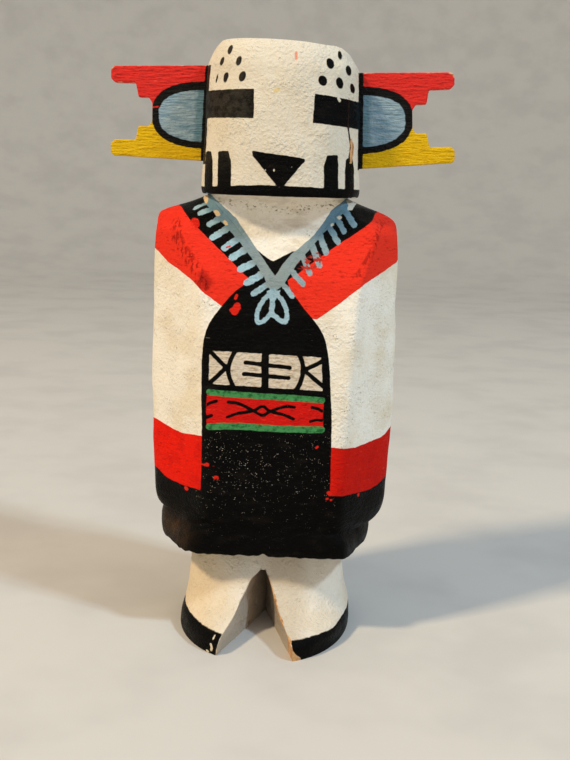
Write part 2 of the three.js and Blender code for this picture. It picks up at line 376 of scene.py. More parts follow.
def waves(points, seed, wavelength, count):
    """Smooth unevenness from -1 to 1: the mean of sine waves of about this length, each along its own
    random direction."""
    chance = np.random.default_rng(seed)
    directions = chance.normal(size=(count, 3))
    directions /= np.linalg.norm(directions, axis=1)[:, None]
    lengths = wavelength * chance.uniform(0.7, 1.5, count)
    phases = chance.uniform(0, 2 * np.pi, count)
    turns = points.reshape(-1, 3) @ (directions / lengths[:, None]).T * 2 * np.pi + phases
    return (np.sin(turns).sum(1) / np.sqrt(count)).reshape(points.shape[:-1])


def skin_points(radius, height):
    """Points of the skin: radius times cosine and sine of the column's angle, and the height."""
    return np.stack([radius * np.cos(angles), radius * np.sin(angles), height], axis=-1)


smooth_skin = skin_points(radius, height)
above_sole = np.clip(height / 2.0, 0, 1)
knife_marks = 0.16 * waves(smooth_skin, 11, 21.0, 12) + 0.07 * waves(smooth_skin, 12, 7.0, 16)
grain_marks = 0.022 * waves(smooth_skin * [1.0, 1.0, 0.45], 13, 1.9, 40)
marks = np.where(radius > 8, knife_marks + grain_marks, 0.0) * above_sole
print("knife marks reach", round(float(np.abs(marks).max()), 2), "mm")

# %% A ragged hem and worn corners
HEM_NICK_PLACE, HEM_NICK_WIDTH, HEM_NICK_DEPTH, HEM_REACH = -0.6, 1.5, 0.8, 2.2
CROWN_START, CROWN_SPAN, CORNER_START, CORNER_SPAN, CORNER_WEAR = 200, 14, 206, 6, 0.9
WEAR_ROUNDS = 2

across_skin = smooth_skin[..., 0]
near_hem = np.clip(1 - np.abs(height - HEM_HEIGHT) / HEM_REACH, 0, 1) * (radius > leg_part[0][-1] + 0.8)
level_skin = smooth_skin * [1, 1, 0]
hem_cut = 0.22 * waves(level_skin, 14, 2.6, 14) + 0.16 * waves(level_skin, 15, 9.0, 8)
nick = HEM_NICK_DEPTH * np.exp(-(((across_skin - HEM_NICK_PLACE) / HEM_NICK_WIDTH) ** 2))
nick = nick * (smooth_skin[..., 1] < -20)
near_crown = np.clip((height - CROWN_START) / CROWN_SPAN, 0, 1) * (radius > 0)
crown_lean = near_crown * np.interp(across_skin, [-20, -12, 0, 8, 15, 22], [0.5, 0.45, 0.1, -0.3, -0.9, -0.6])
carved = skin_points(radius + marks, height + near_hem * (hem_cut + nick) + crown_lean)
left_corner = np.clip((height - CORNER_START) / CORNER_SPAN, 0, 1) * np.clip((-8 - across_skin) / 8, 0, 1)
carved[..., 0] -= CORNER_WEAR * left_corner
on_table = height <= 0
for _ in range(WEAR_ROUNDS):
    worn = carved.copy()
    worn[1:-1] = (carved[:-2] + 2 * carved[1:-1] + carved[2:]) / 4
    worn[on_table] = carved[on_table]
    carved = worn
print("carved grid, lowest point", round(float(carved[..., 2].min()), 3), "mm")

# %% [markdown]
# ## From a grid to a closed mesh
# Every grid in this lesson becomes a mesh the same way: its points in one list, and one four-sided
# face between each pair of rows and columns. A fan of triangles closes each end at a single point.

# %% Mesh helpers


def ring_faces(rows, columns):
    """Faces of a tube grid: each point is joined with the next column and the next row, and the last
    column with the first."""
    row, column = np.meshgrid(np.arange(rows - 1), np.arange(columns), indexing="ij")
    beside = (column + 1) % columns
    corners = [row * columns + column, row * columns + beside]
    corners += [corners[1] + columns, corners[0] + columns]
    return np.stack(corners, axis=-1).reshape(-1, 4)


def closed_tube(grid, bottom, top):
    """A closed mesh from stacked rings, lowest first: ring faces between them and a fan round the
    bottom point and round the top point."""
    rows, columns = grid.shape[:2]
    points = np.concatenate([grid.reshape(-1, 3), [bottom, top]])
    column = np.arange(columns)
    beside = (column + 1) % columns
    low = np.full(columns, rows * columns)
    last = (rows - 1) * columns
    fans = [np.stack([low, beside, column], 1), np.stack([low + 1, last + column, last + beside], 1)]
    faces = ring_faces(rows, columns).tolist() + fans[0].tolist() + fans[1].tolist()
    return points, faces


def new_piece(name, points, faces):
    """A mesh object at the origin, from points in millimetres from the axis."""
    mesh = bpy.data.meshes.new(name)
    mesh.from_pydata(to_frame(points).tolist(), [], faces)
    mesh.validate()
    return new_object(name, mesh)


figure = new_piece("carved_doll", *closed_tube(carved, (0, 0, 0), (0, 0, DOLL_HEIGHT)))
print("skin:", len(figure.data.vertices), "points,", len(figure.data.polygons), "faces")

# %% [markdown]
# ## The notch between the feet
# The feet are parted by one deep cut: two nearly upright walls that meet near the heels and close to a
# point under the dress. The real cut is made with a saw and a knife in the finished block, so here
# too a wedge is taken out of the finished skin. The wedge's walls carry a fine grid of their own,
# because the bare wood and the paint on them are stored on vertices as well.

# %% The wedge
NOTCH_POINT_X, NOTCH_POINT_Y, NOTCH_TOP, NOTCH_FRONT = -0.8, 3.0, 24.8, -60.0
NOTCH_LEFT_SLOPE, NOTCH_RIGHT_SLOPE, NOTCH_WEAR, NOTCH_WOBBLE = 0.325, 0.264, 0.04, 0.14
left_opening = [(-0.08, 1), (0.06, 0.98), (0.22, 0.915), (0.56, 0.92), (0.85, 0.585), (1, 0.1)]
right_opening = [(-0.08, 1), (0.06, 1), (0.22, 0.96), (0.56, 0.72), (0.85, 0.38), (1, 0.1)]


def notch_walls(y, z):
    """Places across the doll of the notch's two walls: they spread from the point in proportion to
    the distance forward, times the opening at this height."""
    forward_reach = np.maximum(NOTCH_POINT_Y - y, 0)
    left = NOTCH_LEFT_SLOPE * along(left_opening, z / NOTCH_TOP, NOTCH_WEAR) * forward_reach
    right = NOTCH_RIGHT_SLOPE * along(right_opening, z / NOTCH_TOP, NOTCH_WEAR) * forward_reach
    return NOTCH_POINT_X - left, NOTCH_POINT_X + right


wedge_heights = np.linspace(-0.08, 0.998, 26)[:, None] * NOTCH_TOP
wall_steps = NOTCH_POINT_Y + (NOTCH_FRONT - NOTCH_POINT_Y) * np.linspace(0, 1, 46)
left_steps, right_steps = wall_steps[None, 1:], wall_steps[None, ::-1]
left_wall = notch_walls(left_steps, wedge_heights)[0]
right_wall = notch_walls(right_steps, wedge_heights)[1]
wedge_x = np.concatenate([left_wall, right_wall], axis=1)
wedge_y = np.concatenate([left_steps[0], right_steps[0]])[None, :] * np.ones_like(wedge_heights)
wedge_grid = np.stack([wedge_x, wedge_y, wedge_heights * np.ones_like(wedge_y)], axis=-1)
wedge_grid[..., 0] += NOTCH_WOBBLE * waves(wedge_grid, 16, 9.0, 10) * (wedge_y < NOTCH_POINT_Y - 1)
middle_y = wedge_grid[0, :, 1].mean()
wedge_bottom = (wedge_grid[0, :, 0].mean(), middle_y, wedge_heights[0, 0])
wedge_top = (wedge_grid[-1, :, 0].mean(), middle_y, wedge_heights[-1, 0])
wedge = new_piece("notch_wedge", *closed_tube(wedge_grid, wedge_bottom, wedge_top))
print("wedge grid:", wedge_grid.shape[:2])

# %% Cut it out
cut = figure.modifiers.new("notch", "BOOLEAN")
cut.operation, cut.solver, cut.object = "DIFFERENCE", "EXACT", wedge
finished = bpy.data.meshes.new_from_object(figure.evaluated_get(bpy.context.evaluated_depsgraph_get()))
figure.modifiers.clear()
figure.data = finished
wedge_mesh = wedge.data
bpy.data.objects.remove(wedge)
bpy.data.meshes.remove(wedge_mesh)
print("cut skin:", len(finished.vertices), "points,", len(finished.polygons), "faces")

# %% [markdown]
# ## Which part of the skin is which
# The cut has left new vertices, so every point is asked again where it lies: on a wall of the notch,
# on the legs, on the front, or round the back. Everything that is painted later is a signed distance
# in millimetres: below zero inside the paint, above zero outside. Two shapes are joined by taking
# the lesser distance, and one is cut from another by taking the greater of it and the other's negative.

# %% Read the cut skin
point_count = len(figure.data.vertices)
flat_points = np.empty(point_count * 3)
figure.data.vertices.foreach_get("co", flat_points)
skin = from_frame(flat_points.reshape(-1, 3))
x, y, z = skin[:, 0], skin[:, 1], skin[:, 2]
out = np.hypot(x, y)
around = np.arctan2(y, x)
FAR = 50.0

left_place, right_place = notch_walls(y, z)
in_notch = (z < NOTCH_TOP + 1) & (y < NOTCH_POINT_Y + 1)
off_left_wall = np.where(in_notch, np.abs(x - left_place), FAR)
off_right_wall = np.where(in_notch, np.abs(x - right_place), FAR)
off_walls = np.minimum(off_left_wall, off_right_wall) - 0.3
leg_skin = skin_radius(legs, np.clip(z, 0, HEM_HEIGHT), around)
head_skin = skin_radius(head, np.clip(z, CHIN_HEIGHT, DOLL_HEIGHT - CROWN_DOME), around)
front = y < -1
print("points on the notch's walls:", int((off_walls < 0).sum()))

# %% Brush shapes as signed distances


def nearest(px, pz, points, closed=False):
    """Distance to a line through these points: the least distance to any of its straight pieces."""
    ends = points[1:] + points[:1] if closed else points[1:]
    best = np.full(px.shape, FAR)
    for (x0, z0), (x1, z1) in zip(points, ends):
        dx, dz = x1 - x0, z1 - z0
        share = np.clip(((px - x0) * dx + (pz - z0) * dz) / (dx * dx + dz * dz), 0, 1)
        best = np.minimum(best, np.hypot(px - x0 - share * dx, pz - z0 - share * dz))
    return best


def patch(points, px=None, pz=None):
    """A filled shape on the front: the distance to its outline, negative where a level line to the
    point crosses the outline an odd number of times."""
    px, pz = (x, z) if px is None else (px, pz)
    inside = np.zeros(px.shape, bool)
    for (x0, z0), (x1, z1) in zip(points, points[1:] + points[:1]):
        if z0 != z1:
            inside ^= ((z0 > pz) != (z1 > pz)) & (px < (x1 - x0) * (pz - z0) / (z1 - z0) + x0)
    distance = nearest(px, pz, points, closed=True)
    return np.where(inside, -distance, distance)


def softened(points, closed=False, rounds=2):
    """The same line with its corners cut: each piece keeps only its middle half, twice over."""
    for _ in range(rounds):
        line = np.array(points + points[:1] if closed else points, float)
        near, far = line[:-1] * 0.75 + line[1:] * 0.25, line[:-1] * 0.25 + line[1:] * 0.75
        cut_line = np.stack([near, far], axis=1).reshape(-1, 2)
        if not closed:
            cut_line = np.concatenate([line[:1], cut_line[1:-1], line[-1:]])
        points = [tuple(p) for p in cut_line]
    return points


square = [(-2, 98), (2, 98), (2, 102), (-2, 102)]
middle_distance = patch(square, np.array([0.0]), np.array([100.0]))[0]
print("the middle of a 4 mm square lies at", round(float(middle_distance), 1), "mm")

# %% Joined and cut shapes, and edges round the doll


def join(*shapes):
    """Joined shapes: the least of their distances."""
    return np.minimum.reduce(shapes)


def common(*shapes):
    """What shapes have in common: the greatest of their distances."""
    return np.maximum.reduce(shapes)


def strokes(*lines):
    """Joined brush lines on the front, as (points, width) pairs: the distance to each path, less half
    its width."""
    return join(*[nearest(x, z, points) - width / 2 for points, width in lines])


def on_front(shape):
    """A shape that is painted on the front alone."""
    return np.where(front, shape, FAR)


def level(points):
    """Height of a painted edge across the front, by straight lines between its measured points."""
    points = np.array(points)
    return np.interp(x, points[:, 0], points[:, 1])


def edge_round(points, behind, start=-9.0, end=-1.0):
    """Height of an edge that runs round the doll: measured points in front, the given height behind,
    and a smooth passage between them at the sides."""
    share = np.clip((y - start) / (end - start), 0, 1)
    share = share * share * (3 - 2 * share)
    return level(points) * (1 - share) + behind * share


print("points on the front:", int(front.sum()))

# %% [markdown]
# ## The mask
# The head is a painted mask: a black ring at the chin with four bars standing on it, a triangle for the
# mouth, two bars for the eyes that run back to the ears, and six little strokes above each eye.
# They were painted freehand, so nothing is quite level or even, and each has its own place.

# %% Paint of the mask
RING_BACK_TOP = 165.4
ring_top = edge_round([(-26.2, 165.1), (-15.5, 165.9), (-3.9, 166.4), (11.7, 166.2),
    (28.3, 165.6)], RING_BACK_TOP)
chin_ring = common(z - ring_top, CHIN_HEIGHT + 0.05 - z, head_skin - 1.1 - out)
eyes_and_mouth = join(
    patch([(-31, 198.3), (-25.6, 198.5), (-8.6, 198.9), (-8.4, 188.9), (-25.7, 189), (-31, 188.9)]),
    patch([(12.3, 197.9), (27.7, 196.2), (31, 196), (31, 186.8), (27.3, 186.8), (11.9, 188.1)]),
    patch([(-8.7, 178), (-8.4, 176.3), (0.5, 166), (2.3, 166), (9.7, 175), (9.6, 175.8),
        (5.5, 176.4)]),
)
bar_corners = [
    [(-26.5, 163), (-26.4, 177), (-25.4, 177.6), (-23.3, 177.4), (-22.8, 163)],
    [(-20.9, 163), (-21.2, 177.2), (-20.4, 177.7), (-16.2, 177.7), (-15.8, 163)],
    [(16.6, 163), (16.1, 177), (20.6, 177.6), (21.1, 176.9), (21.6, 163)],
    [(23.9, 163), (23.6, 175.5), (24.2, 176.6), (26.7, 176.4), (27.2, 163)],
]
bars = join(*[patch(softened(corners, rounds=1)) for corners in bar_corners])
left_dots = [(-17.7, 212.3), (-20.5, 208.3), (-14.3, 208.3), (-22.4, 202.5), (-18.9, 202.8), (-12.9, 203)]
right_dots = [(20.3, 211.7), (17.1, 208.3), (23.5, 206.6), (14.8, 202.4), (20.6, 202), (25.1, 200.6)]
left_dot_sizes = [(1.7, 3.5), (1.4, 3), (2, 3.2), (0.8, 3), (1.8, 3.4), (2.4, 3.4)]
right_dot_sizes = [(1.4, 3.4), (2.6, 3.7), (2, 3.5), (3, 3.5), (2.5, 3.9), (1.8, 3.3)]


def dots(places, sizes, lean):
    """Short leaning brush dabs: each is the distance to an ellipse of its width and height."""
    shapes = []
    for (px, pz), (width, tall) in zip(places, sizes):
        across = (x - px) - lean * (z - pz)
        size = np.hypot(across / (width / 2), (z - pz) / (tall / 2))
        shapes.append((size - 1) * width / 2)
    return join(*shapes)


brow_dots = join(dots(left_dots, left_dot_sizes, 0.2), dots(right_dots, right_dot_sizes, -0.16))
print("mask:", len(left_dots) + len(right_dots), "dabs, 2 eyes,", len(bar_corners), "bars")

# %% Lines beside the ears
EAR_LINE_BACK, EAR_LINE_INNER = 7.2, 20


def ear_line(turn, width, low, high):
    """The black line beside an ear: a strip of this width along the side of the head in front, and
    all of the side as far as a line behind the ear, between two heights."""
    side = np.cos(turn)
    at_height = np.clip(z, CHIN_HEIGHT, DOLL_HEIGHT - CROWN_DOME)
    from_side = skin_radius(head, at_height, turn) - side * x
    strip = np.where(y < 0, from_side - width, y - EAR_LINE_BACK)
    return common(strip, EAR_LINE_INNER - side * x, z - high, low - z)


ear_lines = join(ear_line(np.pi, 1.75, 173.0, 207.6), ear_line(0.0, 0.7, 172.5, 206.6))
head_black = join(chin_ring, on_front(join(eyes_and_mouth, bars, brow_dots)), ear_lines)
print("ear lines reach back to", EAR_LINE_BACK, "mm behind the axis")

# %% [markdown]
# ## The robe's red bands
# The robe is a white cotton blanket with red bands along its upper and lower edges and black borders
# outside them. The upper band crosses the chest on both sides of the necklace, goes over the
# shoulders and runs level round the back. Each edge is a height: measured across the front, plain
# behind, with a smooth passage at the sides.

# %% Red bands
BACK_BAND_LOW, BACK_LOWER_TOP, BACK_LOWER_BOTTOM, RED_UNDER_BLACK = 141.5, 77.5, 58.3, 1.0
COLLAR_MIDDLE, COLLAR_RISE = 150.0, 7.0
band_low = edge_round([(-46, 142.4), (-43.9, 141.3), (-39.4, 137.4), (-34.5, 135.2), (-28.8, 131.9),
    (-24.7, 128.2), (-18.2, 123.7), (15.9, 120.2), (23.9, 126.2), (28.5, 130), (32.8, 133.3), (38.3, 136.3),
    (43.6, 139.6), (46, 141.2)], BACK_BAND_LOW, start=-5, end=2)
back_collar = COLLAR_MIDDLE + COLLAR_RISE * np.clip(np.abs(x) / 35.0, 0, 1.15) ** 2
band_high = edge_round([(-46, 163), (-38, 159.5), (-35.1, 157.1), (-29.9, 152.1), (-22.5, 145.5),
    (-15.7, 139.6), (-9.5, 134.1), (5.1, 133.6), (8.4, 135.8), (19.7, 144.4), (23.4, 147), (27.4, 149.6),
    (32.6, 153.5), (36.7, 156.6), (40, 159.5), (46, 163)], back_collar)
upper_band = common(band_low - z, z - band_high - RED_UNDER_BLACK)
lower_band_top = edge_round([(-46, 78.5), (-43.8, 77.9), (-36.3, 75.9), (-32, 75.5), (-24.4, 76.6),
    (23.6, 74.5), (31.6, 73.8), (42.2, 75.1), (44.1, 76.8), (46, 77.4)], BACK_LOWER_TOP)
lower_band_bottom = edge_round([(-46, 59.6), (-43.1, 59.1), (-38.9, 56.5), (-30.9, 55.9), (-24.7, 56.3),
    (23.6, 56.7), (29.4, 56.4), (37.2, 55.6), (41.9, 56.8), (42.7, 58), (45, 58.4)], BACK_LOWER_BOTTOM)
lower_band = common(z - lower_band_top, lower_band_bottom - RED_UNDER_BLACK - z)
print("bands:", round(float(lower_band_bottom.min()), 1), "to", round(float(lower_band_top.max()), 1), "mm")

# %% [markdown]
# ## The black panel, the belt and the sash
# Between the edges of the robe the dark dress shows: a tall arched panel, narrow at the throat. On it
# are the white belt with its black drawing and, under it, the red sash between two green lines.
# The belt is white left free by the black, so it is cut out of the panel, and the drawing is joined on.

# %% The panel and the collar
panel_outline = [(-9, 134.4), (-10.2, 131.5), (-13.3, 129.2), (-16.3, 126), (-18.3, 123.4),
    (-22.4, 117.7), (-24.1, 112.2), (-24.8, 104.6), (-24.7, 90.9), (-24, 76.6), (-24.4, 40), (23, 40),
    (22.9, 57), (22.6, 74.4), (22.5, 84.6), (21.8, 93), (20.8, 105.3), (19.6, 111.3), (18, 115.5),
    (14.7, 120), (11.1, 123.8), (7.4, 128.4), (5.4, 131.5), (4.6, 134.4)]
panel = patch(softened(panel_outline, closed=True, rounds=1))
neck = on_front(patch([(-60, 200), (-23.5, 160.5), (-16.4, 153.5), (-9.5, 145.5), (-5, 142.5),
    (-2.5, 140.6), (-0.4, 139.8), (2.5, 141.5), (6.2, 143.3), (9.8, 143.7), (15.3, 149), (19.7, 154.5),
    (24.3, 160), (60, 200)]))
back_neck = common(np.where(front, FAR, out - 24.0), 158.5 - z)
neck_specks = np.abs(z - level([(-18.2, 159.8), (-8.4, 158.9), (2.9, 157.2), (12, 158.8),
    (20, 160)])) - 1.3
collar = common(band_high - z, z - CHIN_HEIGHT + 0.3, -neck, -back_neck)
hem_black = common(z - lower_band_bottom, HEM_HEIGHT - 0.6 - z)
print("panel spans", panel_outline[6][0], "to", panel_outline[16][0], "mm")

# %% The belt
BELT_LINE, ARC_LINE, DASH_LINE = 1.7, 1.55, 1.45
belt = patch([(-21.9, 107.9), (17.9, 106.8), (18.7, 94.9), (-21.9, 96)])
belt_lines = [
    ([(-2.1, 109), (-1.9, 101), (-1.7, 93)], 2.6),
    (softened([(-12.3, 109), (-14.2, 105.4), (-15.2, 101.5), (-14.5, 98.2), (-12.6, 94.5)]), ARC_LINE),
    ([(-15.4, 101.8), (-18, 104.2), (-22.3, 108.1)], ARC_LINE),
    ([(-15.6, 102.4), (-18.4, 99.3), (-22.3, 95.6)], ARC_LINE),
    (softened([(9.6, 108.5), (11.2, 105.3), (11.7, 101.8), (11, 97.8), (8.9, 94)]), BELT_LINE),
    (softened([(11.8, 102.2), (14.6, 103.4), (18.9, 105.7)]), ARC_LINE),
    (softened([(11.8, 102.2), (14.7, 99.8), (19.2, 96.3)]), ARC_LINE),
    ([(-9, 104.1), (-4, 103.7), (6.8, 102.8)], DASH_LINE),
    ([(-9.4, 100), (-4, 99.7), (6.5, 99.1)], DASH_LINE),
]
belt_white = common(belt, -strokes(*belt_lines))
print("belt drawing of", len(belt_lines), "strokes")

# %% The sash
SASH_STROKE, GREEN_LINE = 1.15, 2.2
sash = patch([(-22.4, 92.6), (-12, 92.7), (4, 92.3), (19.4, 92.2), (19.2, 86), (19.7, 80.4), (-22.2, 80.4),
    (-22.7, 86.0)])
sash_lines = [
    softened([(-14.7, 89.7), (-11, 89.3), (-8, 88.1), (-4.2, 86), (-2.1, 85), (-0.4, 86.4), (3.1, 88),
        (6, 88.9), (9, 88.6)], rounds=1),
    softened([(-15, 84.2), (-11.5, 85.7), (-7.9, 86.3), (-5.1, 86.9), (-2.4, 88.9), (-0.2, 87),
        (2.3, 86.3), (5.5, 85.8), (8.8, 84.4)], rounds=1),
    [(-19, 89.9), (-20.8, 89.3), (-23, 88)],
    [(-20.6, 84.6), (-23.2, 83.4)],
    [(15.3, 88.8), (17.6, 88.3), (19.9, 87)],
    [(14.8, 83.7), (17, 84.4), (19.9, 84.2)],
]
sash_drawing = strokes(*[(points, SASH_STROKE) for points in sash_lines])
green_lines = strokes(
    ([(-21.6, 92.9), (-14, 92.5), (-4, 92.2), (8, 91.9), (18.7, 91.6)], GREEN_LINE),
    ([(-21.4, 80.4), (-17, 80.9), (-10, 81.1), (2, 80.6), (12, 80.7), (18.9, 80.9)], GREEN_LINE + 0.2),
)
print("sash between green lines", GREEN_LINE, "mm wide")

# %% [markdown]
# ## The necklace
# Two bands of pale blue hang from the neck and cross under the throat; short fringe strokes go
# outwards from them over the black collar, and two small loops hang below. It is all brush
# work, so bands are filled shapes and the fringe is a row of short strokes to measured ends.

# %% The necklace
LOOP_LINE = 1.6
bands_of_beads = join(
    patch([(-25.4, 163.2), (-21.2, 159.9), (-18.1, 157.4), (-14.5, 154.3), (-10.7, 149.2), (-6.8, 144.1),
        (-3, 139.1), (0.5, 134.7), (1.6, 131.6), (0, 129.2), (-1.7, 130.6), (-3.6, 134.6), (-5.9, 137.6),
        (-8.7, 141.2), (-12.2, 145.4), (-14.7, 147.9), (-17.3, 150.7), (-20.4, 153.5), (-22.8, 156.4),
        (-26.1, 159.1), (-26.8, 161.4)]),
    patch([(25.8, 163.2), (23.2, 161.3), (19.2, 158), (17, 154.1), (13.6, 149.4), (9.1, 145.2),
        (5.7, 142.3), (2.9, 138.8), (0.5, 134.7), (-1.4, 131.6), (0, 129.2), (3.3, 131.4), (4.9, 134.3),
        (7.4, 138.3), (10.4, 142.1), (13.5, 145.9), (16.8, 150.1), (20, 152.8), (22.5, 156.1),
        (25.6, 159.1)]),
)
fringe_roots = [(-25.9, 159), (-23.8, 157.2), (-20.6, 153.9), (-17.5, 150.6), (-14, 146.7),
    (-10.9, 143.4), (-7.7, 138.9), (-4.6, 135), (-2.2, 131.7)]
fringe_roots += [(24.2, 158.2), (21.5, 155.3), (18.9, 152.4), (15.8, 148.9), (12.9, 146), (9.9, 141.8),
    (6.3, 136.6), (3, 132.4)]
fringe_ends = [(-30.2, 157.1), (-27.6, 155.5), (-24.1, 151.8), (-22.6, 147.3), (-18.2, 143.8), (-15.2, 140.6),
    (-12, 136.7), (-9.4, 132.2), (-6.9, 128.4)]
fringe_ends += [(27.7, 153.2), (24.2, 150.8), (22, 147.2), (18.1, 143.4), (15.9, 139), (12.6, 136.1),
    (10.4, 132.3), (6.7, 128.1)]
fringe_widths = [1.1, 1.7, 2.1, 2.3, 2.3, 2.4, 2.4, 2.5, 2.1, 2.2, 2.0, 2.1, 2.2, 2.2, 1.9, 2.0, 1.9]
fringe_paths = [list(ends) for ends in zip(fringe_roots, fringe_ends)]
fringe = strokes(*zip(fringe_paths, fringe_widths))
loops = strokes(
    (softened([(-0.4, 129.4), (-3.4, 126.4), (-5.2, 122.8), (-5.7, 119.8), (-4.9, 118.3), (-3.6, 118.5),
        (-2, 119.9), (-0.4, 121.8)]), LOOP_LINE),
    (softened([(0.4, 129.4), (2.9, 127), (4.6, 124.2), (5.3, 121.1), (4.9, 118.8), (3.3, 119), (1.5, 120.4),
        (-0.2, 121.8)]), LOOP_LINE),
    ([(-0.1, 130), (-0.1, 125.5), (-0.3, 121.6)], LOOP_LINE * 1.1),
)
loops = join(loops, patch([(-2.4, 129.6), (2.4, 129.8), (1, 126.6), (-0.1, 125.6), (-1.2, 126.4)]))
fringe_light = np.clip(bands_of_beads / 2.4, 0, 1) * np.where(x < 0, 1.0, 0.3)
fringe_light = np.where(z < 130.5, 0.75 + 0.25 * np.clip((124 - z) / 6, 0, 1), fringe_light)
red_smear = patch([(7.2, 138.6), (9.6, 140.4), (15.2, 143.6), (17, 141.2), (15.6, 138.2), (10.8, 136.6)])
print("necklace:", len(fringe_ends), "fringe strokes")

# %% [markdown]
# ## Slips of the brush and wear
# A few spots make this doll itself: drops and smears of red on the black, an orange touch on the
# forehead, a white chip at an eye, a fine crack down one side of the mask with bare wood in it, and
# bare wood on one wall of the notch and at a toe.

# %% Small marks
red_slips = strokes(
    ([(-13.4, 121.9), (-12.6, 123.8)], 2.6), ([(-14.6, 122.4), (-11.8, 123.2)], 1.3),
    ([(-13.3, 126.6), (-12.9, 127.6)], 1.0), ([(-24.6, 66.3), (-21.6, 66.2)], 1),
    ([(-22.2, 67), (-19.4, 66.2)], 0.55), ([(-30.4, 55.1), (-30.1, 54.9)], 1.5),
    ([(22.4, 57.8), (22.9, 57.3)], 1.4), ([(21.6, 55.4), (22, 55.5)], 0.9),
    ([(23.1, 55), (23.4, 55.1)], 0.8), ([(33.3, 54.8), (33.3, 55.4)], 0.8),
    ([(17.2, 74.2), (17.8, 74.7)], 0.7), ([(-29.6, 153.1), (-28.7, 152.8), (-28.5, 151.2)], 2),
    ([(-17.5, 144), (-16, 144.5)], 0.55),
)
red_slips = join(red_slips, np.abs(np.hypot(x + 18.4, z - 61.7) - 0.75) - 0.25)
orange_touch = strokes(([(5.4, 211.4), (5.5, 209.2)], 0.9), ([(-29.6, 153.6), (-28, 153.3)], 0.3))
yellow_touch = strokes(([(-1.3, 198.4), (-0.3, 198.6)], 1.5))
pale_marks = strokes(
    ([(20.4, 196.8), (20.9, 195.9)], 0.9), ([(-3.9, 171.6), (-3.8, 171.4)], 0.4),
    ([(-0.9, 171.7), (-0.8, 171.4)], 0.5), ([(5.2, 172.8), (5.3, 172.7)], 0.3),
    ([(-23.4, 112.6), (-22, 112.5)], 0.45),
)
touch_outlines = [
    [(-28, 162.4), (-26.2, 162.6), (-25.2, 161.2), (-25.2, 159.2), (-26.2, 158.9), (-27, 160.4)],
    [(-23.1, 156.9), (-21, 156.8), (-19.9, 155.1), (-21.5, 154.6)],
    [(-19.4, 153.2), (-18.2, 153.4), (-17, 152), (-18.2, 151.4)],
    [(24.5, 161.5), (26.6, 162.9), (28, 163.4), (28.2, 161.7), (29.2, 161), (27.6, 159.8), (26.8, 158.4),
        (25, 158.3), (25.4, 160.1)],
    [(21.3, 155.9), (22.9, 156.6), (23.5, 155.5), (22, 154.8)],
    [(19, 153.3), (20.3, 153.8), (20.8, 153), (19.5, 152.4)],
]
cream_touches = join(*[patch(outline) for outline in touch_outlines])
crack = strokes(
    ([(24, 197.2), (24.2, 192.4), (24.2, 188)], 0.22), ([(24.2, 188), (24.3, 186), (24.9, 182.9)], 0.6),
    ([(24.9, 182.9), (25.2, 180.4), (24.9, 177.2), (25.2, 175.2)], 0.45),
)
crack_wood = patch([(24.7, 183.2), (25.6, 183.4), (26.5, 181), (26.3, 177.6), (25.9, 174.6), (25.1, 174.8),
    (25.0, 179.0)])
print("slips placed, with", len(touch_outlines), "cream touches")

# %% Cuts and painted shade along the shoulders' ridges
LEFT_RIDGE_WIDTH, RIGHT_RIDGE_WIDTH = 4.4, 1.6
ridges = strokes(
    ([(-36.7, 151.1), (-35.9, 147), (-34.4, 143.5), (-31.6, 140.6), (-29.3, 137.7), (-27, 134.8),
        (-25.3, 131), (-24.8, 129.4)], LEFT_RIDGE_WIDTH),
    ([(39.4, 155), (36.6, 152), (35.6, 147), (33.8, 142.6), (31.4, 138.4),
        (28.9, 134.4)], RIGHT_RIDGE_WIDTH),
)
# Painted shade in the hollow at the lower end of the left ridge.
dark_scoop = patch([(-27, 135.4), (-24.2, 135.3), (-21.6, 132), (-23.4, 128.4), (-25.7, 130.1)])
print("cuts along two ridges")

# %% Bare wood in the notch and at the toes
BARE_STRIP, BARE_DEPTH, TOE_DEPTH, TOE_LINE = 0.45, 7.5, 1.6, -36
behind_front = leg_skin - out
strip_edge = off_right_wall - BARE_STRIP - 0.3 * waves(skin, 21, 4.0, 8)
bare_wall = common(strip_edge, behind_front - BARE_DEPTH, z - NOTCH_TOP + 2.2, 0.1 - x)
right_toe = patch([(9, 7.2), (10.7, 7), (11.4, 4.6), (12.9, 2.4), (14.6, 0.9), (14.8, -1),
    (9.0, -1.0)])
right_toe = np.where((y < TOE_LINE) & (x > 5), common(right_toe, behind_front - TOE_DEPTH), FAR)
left_toe_chips = strokes(
    ([(-17.8, 3.4), (-17.4, 2.3), (-17.6, 1.2)], 0.8), ([(-16.6, 6.2), (-17.1, 5.3)], 0.6),
    ([(-19.4, 0.5), (-18.6, 0.3)], 0.6),
)
left_toe_chips = np.where(y < TOE_LINE, left_toe_chips, FAR)
bare_sole = common(z - 0.05, out - leg_skin + 1.0)
bare_wood = join(bare_wall, right_toe, on_front(crack_wood), bare_sole)
print("bare wood strip", BARE_STRIP, "mm wide")

# %% The soles' black edge
SOLE_EDGE_BEHIND = 7.4
sole_top = edge_round([(-33, 8.4), (-29.8, 7.9), (-26.1, 7.5), (-21.3, 7.2), (-14.1, 6.8), (10.9, 6.6),
    (18, 6.7), (25.9, 6.4), (29.9, 7.4), (32, 8)], SOLE_EDGE_BEHIND)
sole_black = common(z - sole_top, -off_walls, -right_toe)
print("sole edge", round(float(sole_top.min()), 1), "to", round(float(sole_top.max()), 1), "mm high")

# %% [markdown]
# ## Colours by layers
# The brush went over the doll in a fixed order: white, red, black, green and blue, and last the slips.
# Each colour is one attribute on the mesh, so the material can lay them over each other the same
# way, and an edge between two colours needs only the upper one to be exact.

